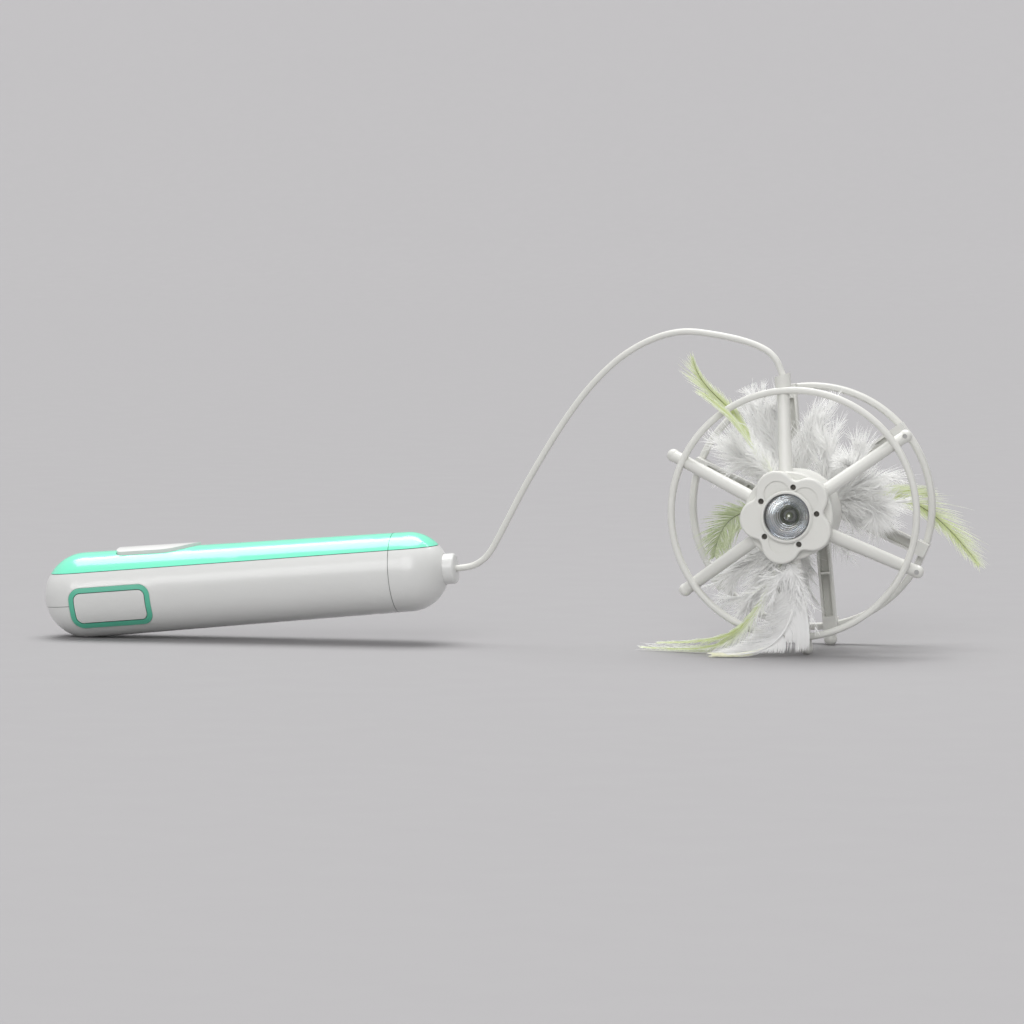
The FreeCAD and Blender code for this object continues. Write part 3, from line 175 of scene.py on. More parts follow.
def opaque(rgb, factor=1.0):
    """A colour with its alpha, brightened or darkened by a factor."""
    return (*[min(1.0, channel * factor) for channel in rgb], 1.0)


def fresh(name):
    """An empty node material with its output, and its object coordinates."""
    material = bpy.data.materials.new(name)
    material.use_nodes = True
    tree = material.node_tree
    tree.nodes.clear()
    place = shader_node(tree, "ShaderNodeTexCoord").outputs["Object"]
    output = shader_node(tree, "ShaderNodeOutputMaterial")
    return material, tree, place, output


def maths(tree, operation, *values):
    """The result of a Math node."""
    item = shader_node(tree, "ShaderNodeMath", dict(enumerate(values)), operation=operation)
    return item.outputs[0]


def vector_maths(tree, operation, *values, result="Vector"):
    """The result of a Vector Math node, as a vector or a value."""
    item = shader_node(tree, "ShaderNodeVectorMath", dict(enumerate(values)), operation=operation)
    return item.outputs[result]


def principled(tree, output, values):
    """A Principled shader as the material's surface."""
    surface = shader_node(tree, "ShaderNodeBsdfPrincipled", values)
    tree.links.new(surface.outputs[0], output.inputs["Surface"])


def noise(tree, place, scale, detail=2.0):
    """Soft noise; its scale is in patches to the metre."""
    values = {"Vector": place, "Scale": scale, "Detail": detail}
    return shader_node(tree, "ShaderNodeTexNoise", values).outputs["Fac"]


def spread(tree, value, low, high):
    """A value from 0.2 to 0.8 carried to the range asked for."""
    values = {"Value": value, "From Min": 0.2, "From Max": 0.8, "To Min": low, "To Max": high}
    return shader_node(tree, "ShaderNodeMapRange", values).outputs["Result"]


def ramp(tree, value, stops):
    """Colours along a value: each stop is a place from 0 to 1 and a colour."""
    item = shader_node(tree, "ShaderNodeValToRGB", {"Fac": value})
    elements = item.color_ramp.elements
    while len(elements) < len(stops):
        elements.new(0.5)
    for element, (spot, rgba) in zip(elements, stops):
        element.position = spot
        element.color = rgba
    return item.outputs["Color"]


def multiply(tree, factor, first, second):
    """The first colour, multiplied by the second where the factor is 1."""
    values = {MIX_FACTOR: factor, MIX_FIRST: first, MIX_SECOND: second}
    item = shader_node(tree, "ShaderNodeMix", values, data_type="RGBA", blend_type="MULTIPLY")
    return item.outputs[MIX_RESULT]


def line_mask(tree, place, direction, offset, half):
    """1 on the plane at that offset along a direction, fading to 0 half the line's width away."""
    dot = vector_maths(tree, "DOT_PRODUCT", place, direction, result="Value")
    away = maths(tree, "ABSOLUTE", maths(tree, "SUBTRACT", dot, offset))
    values = {"Value": away, "From Min": half * 0.5, "From Max": half, "To Min": 1.0, "To Max": 0.0}
    item = shader_node(tree, "ShaderNodeMapRange", values, interpolation_type="SMOOTHSTEP")
    return item.outputs["Result"]


def before(tree, place, stop):
    """1 up to a place along the handle, and 0 past it."""
    dot = vector_maths(tree, "DOT_PRODUCT", place, tuple(HANDLE_ALONG), result="Value")
    return maths(tree, "LESS_THAN", dot, HANDLE_ALONG.dot(HANDLE) + stop)


def moulded(name, rgb, roughness, patch=60.0, mottle=0.012, grain=0.1, seam_shades=(), **shader):
    """Moulded plastic: colour in faint soft patches, uneven gloss and a fine skin grain.

    Each seam is a direction, an offset, half a width and where it stops along the handle, and is
    darkened along it with painted shade, standing for the shadow in its gap."""
    material, tree, place, output = fresh(name)
    cloudy = noise(tree, place, patch)
    base = ramp(tree, cloudy, ((0.2, opaque(rgb, 1 - mottle)), (0.8, opaque(rgb, 1 + mottle))))
    # Each seam's gap is painted as a dark line of shade over the colour
    for direction, offset, half, stop in seam_shades:
        seam_shade_mask = line_mask(tree, place, direction, offset, half)
        if stop is not None:
            seam_shade_mask = maths(tree, "MULTIPLY", seam_shade_mask, before(tree, place, stop))
        base = multiply(tree, seam_shade_mask, base, SEAM_SHADE)
    gloss = spread(tree, noise(tree, place, patch * 0.7), roughness * 0.95, roughness * 1.05)
    skin = noise(tree, place, SKIN_GRAINS, 3.0)
    values = {"Strength": grain, "Distance": SKIN_DEPTH, "Height": skin}
    normal = shader_node(tree, "ShaderNodeBump", values).outputs["Normal"]
    principled(tree, output, {"Base Color": base, "Roughness": gloss, "Normal": normal, **shader})
    return material


def clear(name, tint, **shader):
    """Clear moulded lens plastic with faint dust in its gloss."""
    material, tree, place, output = fresh(name)
    dust = noise(tree, place, 900.0, 4.0)
    base = ramp(tree, dust, ((0.3, opaque(tint)), (0.7, opaque(tint, 0.97))))
    principled(tree, output, {
        "Base Color": base,
        "Roughness": spread(tree, dust, 0.01, 0.06),
        "Transmission Weight": 1.0,
        **shader,
    })
    return material


def turned(name, stops, reach, roughness, metallic):
    """A lamp part turned about the axle: colours by radius up to its reach, a faint drift of blue
    and amber as in a coated mirror, and fine ribs."""
    material, tree, place, output = fresh(name)
    across = vector_maths(tree, "SUBTRACT", place, tuple(CAGE))
    flat = vector_maths(tree, "MULTIPLY", across, (1.0, 0.0, 1.0))
    away = vector_maths(tree, "LENGTH", flat, result="Value")
    share = maths(tree, "DIVIDE", away, reach)
    ribs = maths(tree, "SINE", maths(tree, "MULTIPLY", away, RIB_TURNS))
    values = {"Strength": 0.5, "Distance": RIB_DEPTH, "Height": ribs}
    bump = shader_node(tree, "ShaderNodeBump", values)
    gloss = spread(tree, noise(tree, place, 900.0), roughness * 0.8, roughness * 1.2)
    drift = ramp(tree, noise(tree, place, 260.0), MIRROR_TINTS)
    principled(tree, output, {
        "Base Color": multiply(tree, 1.0, ramp(tree, share, stops), drift),
        "Roughness": gloss,
        "Metallic": metallic,
        "Normal": bump.outputs["Normal"],
    })
    return material


def feathery(name, stops, streak=0.08):
    """Feather that lets light through: colours along the piece's own tint attribute, with fine
    streaks."""
    material, tree, place, output = fresh(name)
    tint = shader_node(tree, "ShaderNodeAttribute", attribute_name="tint").outputs["Fac"]
    base = ramp(tree, tint, stops)
    streaks = spread(tree, noise(tree, place, 700.0, 3.0), 0.0, streak)
    base = multiply(tree, streaks, base, (0.72, 0.74, 0.74, 1.0))
    values = {
        "Base Color": base,
        "Roughness": spread(tree, noise(tree, place, 500.0), 0.5, 0.7),
        "Specular IOR Level": 0.25,
        "Sheen Weight": 0.25,
        "Sheen Roughness": 0.5,
    }
    surface = shader_node(tree, "ShaderNodeBsdfPrincipled", values)
    through = shader_node(tree, "ShaderNodeBsdfTranslucent", {"Color": base})
    values = {0: 0.4, 1: surface.outputs[0], 2: through.outputs[0]}
    both = shader_node(tree, "ShaderNodeMixShader", values)
    tree.links.new(both.outputs[0], output.inputs["Surface"])
    return material


# Shapes worked out with numpy


def unit(vectors):
    """Vectors scaled to length one."""
    return vectors / np.maximum(np.linalg.norm(vectors, axis=-1, keepdims=True), 1e-12)


def bezier(points, shares):
    """Places on a cubic Bezier curve: each corner times its Bernstein weight."""
    s = np.asarray(shares, dtype=float)[..., None]
    a, b, c, d = np.asarray(points, dtype=float)
    return a * (1 - s) ** 3 + 3 * b * s * (1 - s) ** 2 + 3 * c * s**2 * (1 - s) + d * s**3


def slope(points, shares):
    """Directions along a cubic Bezier curve: the weighted steps between its corners."""
    s = np.asarray(shares, dtype=float)[..., None]
    a, b, c, d = np.asarray(points, dtype=float)
    return unit((b - a) * (1 - s) ** 2 + 2 * (c - b) * s * (1 - s) + (d - c) * s**2)


def strands(paths, across, wide, thick, taper, sides=3):
    """Closed strands along paths, as corners, quads, triangles and each corner's share.

    Around a point of a path stand as many corners as sides, at across x wide x cos(turn) plus
    normal x thick x sin(turn), times the taper there. The root is flat and the tip a point."""
    count, steps = paths.shape[:2]
    along = unit(np.gradient(paths, axis=1))
    side = unit(across[:, None] - along * np.sum(along * across[:, None], axis=-1, keepdims=True))
    normal = np.cross(along, side)
    turns = 2 * np.pi * np.arange(sides) / sides
    out = side[:, :-1, None] * (np.cos(turns)[:, None] * wide[:, None, None, None])
    out = out + normal[:, :-1, None] * (np.sin(turns)[:, None] * thick[:, None, None, None])
    rings = paths[:, :-1, None] + out * taper[None, :-1, None, None]
    corners = np.concatenate([rings.reshape(count, -1, 3), paths[:, -1:]], axis=1)
    each = corners.shape[1]
    j = np.arange(sides)
    k = (j + 1) % sides
    i = np.arange(steps - 2)[:, None] * sides
    quads = np.stack([i + j, i + k, i + sides + k, i + sides + j], axis=-1).reshape(-1, 4)
    last = (steps - 2) * sides
    tips = np.stack([last + j, last + k, np.full(sides, each - 1)], axis=-1)
    fan = np.arange(1, sides - 1)
    roots = np.stack([np.zeros_like(fan), fan + 1, fan], axis=-1)
    ends = np.concatenate([tips, roots])
    first = np.arange(count)[:, None, None] * each
    share = np.append(np.repeat(np.linspace(0, 1, steps)[:-1], sides), 1.0)
    return (
        corners.reshape(-1, 3),
        (quads[None] + first).reshape(-1, 4),
        (ends[None] + first).reshape(-1, 3),
        np.tile(share, count),
        np.repeat(np.arange(count), each),
    )


def barbs(shaft, shares, side, facing, length, lean, curl, turn, wave, steps):
    """Paths of barbs that leave a curved shaft, in a vane that faces one way.

    A barb runs out from its share of the shaft at its lean from the shaft's direction and bends
    towards the tip by its curl. Its turn lifts it out of the vane, and it sways as a sine wave."""
    root = bezier(shaft, shares)
    along = slope(shaft, shares)
    across = unit(np.cross(along, facing)) * side[:, None]
    normal = np.cross(across, along)
    away = across * np.cos(turn)[:, None] + normal * np.sin(turn)[:, None]
    s = np.linspace(0, 1, steps)
    out = (length * np.sin(lean))[:, None] * (s - 0.5 * curl[:, None] * s**2)
    on = (length * np.cos(lean))[:, None] * s + (length * curl)[:, None] * 0.5 * s**2
    sway = (length * wave[:, 0])[:, None] * np.sin(2 * np.pi * (1.3 * s + wave[:, 1:2])) * s
    return (
        root[:, None]
        + away[:, None] * out[..., None]
        + along[:, None] * on[..., None]
        + normal[:, None] * sway[..., None]
    )


class Bundle:
    """Gathers strands into one mesh with a tint for each corner."""

    def __init__(self):
        self.corners, self.quads, self.ends, self.tints = [], [], [], []
        self.total = 0

    def add(self, shape, tint):
        """Take in strands. tint gives the corners' tints from their shares and strand numbers."""
        corners, quads, ends, share, strand = shape
        self.quads.append(quads + self.total)
        self.ends.append(ends + self.total)
        self.corners.append(corners)
        self.tints.append(tint(share, strand))
        self.total += len(corners)

    def piece(self, name, material):
        """The mesh object, from millimetres about the cage's middle to metres in the frame."""
        corners = np.concatenate(self.corners) * MM + CAGE
        quads = np.concatenate(self.quads)
        ends = np.concatenate(self.ends)
        mesh = bpy.data.meshes.new(name)
        mesh.vertices.add(len(corners))
        mesh.vertices.foreach_set("co", corners.ravel())
        loops = np.concatenate([quads.ravel(), ends.ravel()])
        starts = np.concatenate([
            np.arange(len(quads)) * 4,
            len(quads) * 4 + np.arange(len(ends)) * 3,
        ])
        mesh.loops.add(len(loops))
        mesh.loops.foreach_set("vertex_index", loops.astype(np.int32))
        mesh.polygons.add(len(starts))
        mesh.polygons.foreach_set("loop_start", starts.astype(np.int32))
        tint = mesh.attributes.new("tint", "FLOAT", "POINT")
        tint.data.foreach_set("value", np.concatenate(self.tints))
        mesh.update(calc_edges=True)
        mesh.shade_flat()
        mesh.materials.append(material)
        piece = bpy.data.objects.new(name, mesh)
        bpy.context.scene.collection.objects.link(piece)
        return piece


def above_floor(paths, seed):
    """Paths lifted clear of the floor, in thin layers."""
    lift = np.random.default_rng(seed).uniform(0.35, 1.1, (len(paths), 1))
    low = lift - CAGE[2] / MM
    paths[..., 2] = np.maximum(paths[..., 2], low)
    return paths


# Materials of the CAD nodes

WHITE_SHINE = {"Coat Weight": 0.4, "Coat Roughness": 0.12}
MINT_SHINE = {"Specular IOR Level": 0.3, "Coat Weight": 0.65, "Coat Roughness": 0.09}
LENS_SHINE = {"IOR": 1.1, "Alpha": 0.4, "Coat Weight": 1.0, "Coat Roughness": 0.03}

# Colours of the lamp's turned parts, from the axle out to their reach in metres
MIRROR_REACH = 0.009
MIRROR = (
    (0.0, (0.34, 0.345, 0.34, 1.0)), (0.5, (0.72, 0.725, 0.725, 1.0)),
    (0.6, (0.55, 0.56, 0.57, 1.0)), (0.68, (0.76, 0.765, 0.77, 1.0)),
    (0.95, (0.48, 0.485, 0.49, 1.0)),
)
# The LED chip's colours by radius: its white centre, fading through pale yellow, is a painted
# glint, and beyond it lies the chip's own dark olive
CHIP_REACH = 0.002
CHIP_WITH_PAINTED_GLINT = (
    (0.0, (0.92, 0.93, 0.86, 1.0)), (0.2, (0.75, 0.75, 0.6, 1.0)), (0.3, (0.09, 0.10, 0.06, 1.0)),
)


def seam(direction, offset, half, stop=None):
    """A seam plane of the handle, in the frame of the whole object, along which a line of shade is
    painted.
    """
    return tuple(direction), direction.dot(HANDLE) + offset, half, stop


def make_finishes(colours, sizes):
    """The material of each material slot in the record."""
    # The seams and the tail's parting line are painted lines of shade, standing for the shadow in a
    # gap; there is no groove under the tail's line
    seam_shades = (
        seam(HANDLE_UP, 9.9 * MM, sizes.seam_shade_half),
        seam(HANDLE_ALONG, 131.5 * MM, sizes.seam_shade_half),
    )
    tail_seam_shade = seam(HANDLE_UP, -3.4 * MM, sizes.seam_shade_half, -2.8 * MM)
    return {
        "white_plastic": moulded(
            "Handle white", colours.white, 0.3, seam_shades=(*seam_shades, tail_seam_shade), **WHITE_SHINE
        ),
        "mint_plastic": moulded("Cover mint", colours.mint, 0.25, seam_shades=seam_shades, **MINT_SHINE),
        "cage_plastic": moulded("Cage white", colours.cage, 0.36, mottle=0.02, grain=0.2),
        "bezel_plastic": moulded("Button ring mint", colours.bezel, 0.3),
        "cable_jacket": moulded("Cable jacket", (0.72, 0.715, 0.685), 0.5, mottle=0.02, grain=0.3),
        "clear_lens": clear("Lamp lens", (0.97, 0.98, 0.985), **LENS_SHINE),
        "reflector": turned("Lamp reflector", MIRROR, MIRROR_REACH, 0.13, 0.95),
        "light_chip": turned("Lamp chip with painted glint", CHIP_WITH_PAINTED_GLINT, CHIP_REACH, 0.15, 0.0),
        "lamp_base": moulded("Lamp base", (0.10, 0.105, 0.095), 0.35),
        "board": moulded("Circuit board", (0.03, 0.16, 0.07), 0.4, patch=500.0, mottle=0.2),
        "switch": moulded("Switch body", (0.06, 0.06, 0.065), 0.45),
        "gear_plastic": moulded("Gear plastic", (0.70, 0.69, 0.63), 0.45),
        "steel": moulded(
            "Dark steel", (0.085, 0.08, 0.072), 0.4, patch=700.0, mottle=0.25, Metallic=0.6
        ),
        "pin_steel": moulded("Pin steel", (0.45, 0.45, 0.44), 0.3, Metallic=1.0),
        "cell_can": moulded("Cell can", (0.55, 0.56, 0.57), 0.35, Metallic=1.0),
    }


CAGE_NODES = (
    "front_spider", "front_ring", "cable_ferrule", "rear_spider", "rear_ring", "flower_cap",
    "lens_bezel", "drum_housing", "motor_plate", "feather_clamps",
)


class WAND_OT_finishes(bpy.types.Operator):
    """Give every CAD node its material"""

    bl_idname = "wand.finishes"
    bl_label = "Finishes"

    def execute(self, context):
        finishes = make_finishes(context.scene.wand_colours, context.scene.wand_sizes)
        slots = {row["node"]: row["material_slot"] for row in frame["record"]["subparts"]}
        slots.update(dict.fromkeys(CAGE_NODES, "cage_plastic"))
        slots["lamp_board"] = "lamp_base"
        slots["arm_pins"] = "pin_steel"
        for name, node in frame["nodes"].items():
            material = finishes.get(slots[name], finishes["white_plastic"])
            for place in node.material_slots:
                place.material = material
            if not node.material_slots:
                node.data.materials.append(material)
        return {"FINISHED"}


# Cable

# The same points as part.py's route, in metres
CABLE_POINTS = (
    (-0.017261, 0.00024, 0.030692), (-0.012578, 0.00024, 0.031093), (-0.00789, -0.00056, 0.0328),
    (-0.00319, -0.00136, 0.0366), (0.00281, -0.00216, 0.0475), (0.01331, -0.00336, 0.0675),
    (0.03201, -0.00546, 0.0971), (0.04801, -0.00736, 0.1145), (0.06251, -0.00896, 0.1237),
    (0.07721, -0.01066, 0.128), (0.09231, -0.01236, 0.1261), (0.10384, -0.01376, 0.1237),
    (0.11172, -0.01506, 0.1205), (0.11503, -0.01586, 0.1177), (0.117127, -0.016034, 0.114382),
    (0.11833, -0.016034, 0.110567),
)


class WAND_OT_cable(bpy.types.Operator):
    """Lay the stiff cable from the handle to the cage"""

    bl_idname = "wand.cable"
    bl_label = "Cable"

    def execute(self, context):
        sizes = context.scene.wand_sizes
        line = bpy.data.curves.new("wand_cable_jacket", "CURVE")
        line.dimensions = "3D"
        line.bevel_depth = sizes.cable_diameter / 2
        line.bevel_resolution = 6
        line.resolution_u = 10
        line.use_fill_caps = True
        spline = line.splines.new("NURBS")
        spline.points.add(len(CABLE_POINTS) - 1)
        for point, place in zip(spline.points, CABLE_POINTS):
            point.co = (*place, 1.0)
        spline.order_u = 3
        spline.use_endpoint_u = True
        colours = context.scene.wand_colours
        line.materials.append(moulded("Cable satin", colours.cage, 0.5, mottle=0.02, grain=0.3))
        cable = bpy.data.objects.new("wand_cable_jacket", line)
        context.scene.collection.objects.link(cable)
        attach(cable, "root")
        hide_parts("wand_cable")
        return {"FINISHED"}


# Down feathers on the rotor

# Plumes of each bunch, in mm about the cage's middle: the shaft's four Bezier corners, the number
# of barbs, and the length of its longest barb
DOWN = {
    "upper_marabou": (
        (((-5.3, 1, 10.8), (-14, -5, 19), (-22, -8, 24), (-29.5, -7, 26)), 1140, 11),
        (((-5.3, 2, 10.8), (-15, 0, 16), (-19, -2, 18), (-24.5, -3, 18.5)), 800, 9),
        (((-5, 4, 11), (-12, 6, 24), (-20, 8, 34), (-24, 8, 40)), 1010, 11),
        (((-4, 5, 11), (-8, 8, 26), (-13, 9, 38), (-16, 9, 46)), 1010, 10),
        (((-2, 6, 12), (0, 9, 24), (2, 10, 34), (5, 10, 41)), 880, 9),
    ),
    "side_marabou": (
        (((8, 2, 8), (11, 4, 16), (11, 4, 24), (9, 3, 30)), 880, 10),
        (((10, 1, 5), (17, 0, 12), (22, -2, 19), (25, -3, 26)), 1010, 10),
        (((11.6, 0, 4), (20, -3, 10), (27, -5, 12), (33, -5, 10)), 1010, 10),
        (((11.6, 2, 2.9), (24, -3, 6), (30, -5, 3), (35, -4, -1)), 1140, 11),
        (((11.6, 4, 1), (20, 6, -3), (25, 6, -6), (29, 6, -7)), 660, 9),
        (((9, 6, -4), (12, 8, -9), (15, 9, -13), (17, 9, -16)), 140, 9),
    ),
    "lower_marabou": (
        (((-5, 2, -11), (-15, 0, -17), (-24, -2, -23), (-30, -3, -28)), 880, 10),
        (((-4, 2, -12), (-10, -4, -22), (-17, -8, -31), (-24, -8, -38)), 1140, 11),
        (((-3, 3, -12), (-3, -4, -24), (-6, -8, -34), (-9, -9, -43)), 1140, 11),
        (((-2, 4, -12), (0, 3, -20), (0, 2, -27), (-1, 0, -34)), 500, 8),
    ),
}

# Each plume has a few thin shafts, which stray from its line by these mm at the Bezier corners
DOWN_SHAFTS = 5
SHAFT_STRAY = np.array([[0.0], [1.5], [3.4], [5.0]])
SHAFT_POINTS = 14

# Clumps of barbs stand in rows up both sides of a shaft, and a share of the barbs are stiff spikes
CLUMP_ROWS = 9
CLUMPS = 24
SPIKE_SHARE = 0.12
DOWN_TAPER = np.array([1.0, 1.0, 0.9, 0.75, 0.55, 0.35, 0.0])

# The way that down barbs turn their flat sides
LIT = np.array([-0.3, -0.8, 0.7])

# The rotor's swept room between the rings, in mm about the cage's middle
ROTOR_REACH = 55.0
ROTOR_FRONT = -11.6
ROTOR_REAR = 15.0

# Seeds of the random draws
DOWN_SEED = 20
HACKLE_SEED = 40
PLUME_SEED = 60
FLUFF_SEED = 70


def inside_rotor(paths):
    """Barbs held in the rotor's swept room: shortened about their roots, and pressed flat at its
    front and rear."""
    root = paths[:, :1]
    reach = np.hypot(paths[..., 0], paths[..., 2])
    start = reach[:, :1]
    furthest = reach.max(axis=1, keepdims=True)
    over = (ROTOR_REACH - start) / np.maximum(furthest - start, 1e-6)
    share = np.where(furthest > ROTOR_REACH, np.clip(over, 0.15, 1.0), 1.0)
    paths = root + (paths - root) * share[..., None]
    paths[..., 1] = np.clip(paths[..., 1], ROTOR_FRONT, ROTOR_REAR)
    return paths


def down_plume(bundle, shaft, count, longest, wide, rng, keep=inside_rotor, low=0.0):
    """Soft barbs around a few thin shafts that part towards their tips.

    The barbs stand in clumps that share a lean, a turn, a length, a curl and a tone, and a few
    stiff bright ones stand out. keep holds them in their room, and low is the lowest tint."""
    facing = np.array([0.0, -1.0, 0.0])
    for _ in range(DOWN_SHAFTS):
        stray = rng.normal(size=(4, 3)) * SHAFT_STRAY
        line = np.array(shaft, dtype=float) + stray * (1.0, 0.5, 1.0)
        few = count // DOWN_SHAFTS
        spike = rng.uniform(0, 1, few) < SPIKE_SHARE
        shares = rng.beta(1.2, 1.1, few)
        side = rng.choice((-1.0, 1.0), few)
        clump = (shares * CLUMP_ROWS + rng.uniform(0, 1, few)).astype(int) * 2 + (side > 0)
        lean_of, turn_of, long_of, curl_of, tone_of = rng.uniform(-1, 1, (5, CLUMPS))
        length = longest * (1.15 + 0.3 * long_of[clump] + rng.uniform(-0.3, 0.3, few))
        length = length * (1 - 0.45 * shares**2)
        lean = np.radians(32 - 12 * shares + 13 * lean_of[clump] + rng.normal(0, 6, few))
        curl = 0.55 * curl_of[clump] + rng.uniform(-0.2, 0.25, few)
        turn = 1.1 * turn_of[clump] + rng.normal(0.0, 0.25, few)
        sway = rng.uniform(0.01, 0.08, few) * (1 - 0.8 * spike)
        wave = np.stack([sway, rng.uniform(0, 1, few)], axis=-1)
        paths = barbs(line, shares, side, facing, length, lean, curl, turn, wave, len(DOWN_TAPER))
        paths = keep(paths)
        width = wide * rng.uniform(0.55, 1.2, few) * np.where(spike, 1.5, 1.0)
        soft = np.clip(0.4 + 0.5 * tone_of[clump] + rng.uniform(-0.3, 0.3, few), 0, 1)
        tone = low + (1 - low) * np.where(spike, 1.0, soft)
        across = unit(np.cross(LIT, slope(line, shares)) + 0.35 * rng.normal(size=(few, 3)))
        shape = strands(paths, across, width / 2, width * 0.15, DOWN_TAPER)
        bundle.add(shape, lambda share, strand: np.clip(tone[strand] + 0.3 * share, 0, 1))
        path = keep(bezier(line, np.linspace(0, 1, SHAFT_POINTS))[None])
        thick = np.array([0.2])
        taper = np.linspace(1, 0.2, SHAFT_POINTS)
        shape = strands(path, unit(rng.normal(size=(1, 3))), thick, thick, taper, 5)
        bundle.add(shape, lambda share, strand: np.maximum(low, 0.5 + 0.3 * share))


class WAND_OT_down(bpy.types.Operator):
    """Make the fluffy bunches that turn with the rotor"""

    bl_idname = "wand.down"
    bl_label = "Down"

    def execute(self, context):
        wide = context.scene.wand_sizes.down_width / MM
        white = context.scene.wand_colours.down
        stops = ((0.0, opaque(white, 0.93)), (0.5, opaque(white, 0.99)), (1.0, opaque(white)))
        material = feathery("Down white", stops, 0.006)
        for seed, (name, plumes) in enumerate(DOWN.items()):
            rng = np.random.default_rng(DOWN_SEED + seed)
            bundle = Bundle()
            for shaft, count, longest in plumes:
                down_plume(bundle, shaft, count, longest, wide, rng)
            piece = bundle.piece(name + "_down", material)
            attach(piece, "rotor")
            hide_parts(name)
        return {"FINISHED"}


# Hackles and the plume

# Widths along a flat barb, and half its thickness in mm
VANE_TAPER = np.array([0.8, 1.0, 1.0, 0.9, 0.75, 0.5, 0.0])
BARB_HALF = 0.05
QUILL_POINTS = 30


def vane(bundle, shaft, facing, layer, wide, rng):
    """One layer of flat barbs along one side of a shaft, the side's sign first in its row.

    halves are the vane's half widths at even steps, lean is the barbs' angle from the shaft in
    degrees, tone and fade say where a barb's colour starts and how far it moves to pale along the
    barb, and loose is how far the barbs stray. No barb runs far past the shaft's tip."""
    sign, halves, lean, count, tone, fade, loose = layer
    shares = (np.arange(count) + rng.uniform(0, 1, count)) / count
    half = np.interp(shares, np.linspace(0, 1, len(halves)), halves)
    angle = np.radians(lean * (1.1 - 0.35 * shares) + rng.normal(0, 3.0 * loose, count))
    curl = rng.uniform(0.05, 0.4, count)
    length = half / np.maximum(np.sin(angle), 0.15) / (1 - 0.5 * curl)
    length = length * (1 + 0.3 * loose * rng.uniform(-1, 0.6, count))
    whole = np.linalg.norm(np.diff(bezier(shaft, np.linspace(0, 1, 20)), axis=0), axis=1).sum()
    room = (1.02 - shares) * whole / np.cos(angle) + rng.uniform(0.5, 2.5, count)
    length = np.minimum(length, room)
    turn = rng.normal(0, 0.1 * loose, count)
    wave = np.stack([rng.uniform(0.0, 0.03 * loose, count), rng.uniform(0, 1, count)], axis=-1)
    side = np.full(count, float(sign))
    facing = unit(np.array(facing))
    steps = len(VANE_TAPER)
    paths = barbs(shaft, shares, side, facing, length, angle, curl, turn, wave, steps)
    paths = above_floor(paths, seed=count)
    width = wide * rng.uniform(0.75, 1.2, count)
    shape = strands(paths, slope(shaft, shares), width / 2, np.full(count, BARB_HALF), VANE_TAPER)
    start = np.interp(shares, np.linspace(0, 1, len(tone)), tone)
    start = start + rng.uniform(-0.14, 0.13, count) * loose
    bundle.add(shape, lambda share, strand: np.clip(start[strand] + fade * share, 0, 1))


def quill(bundle, shaft, facing, thick, tone, start=0.0):
    """A feather's shaft: a round strand before its vane, thin at the tip, toned base to tip.

    start is the share of the shaft where it begins."""
    line = bezier(shaft, np.linspace(start, 1, QUILL_POINTS))[None] + 0.35 * np.array(facing)
    across = np.array([[0.3, 0.1, 0.95]])
    radius = np.array([thick])
    taper = np.linspace(1, 0.15, QUILL_POINTS)
    shape = strands(above_floor(line, seed=1), across, radius, radius, taper, 6)
    bundle.add(shape, lambda share, strand: np.interp(share, np.linspace(0, 1, len(tone)), tone))


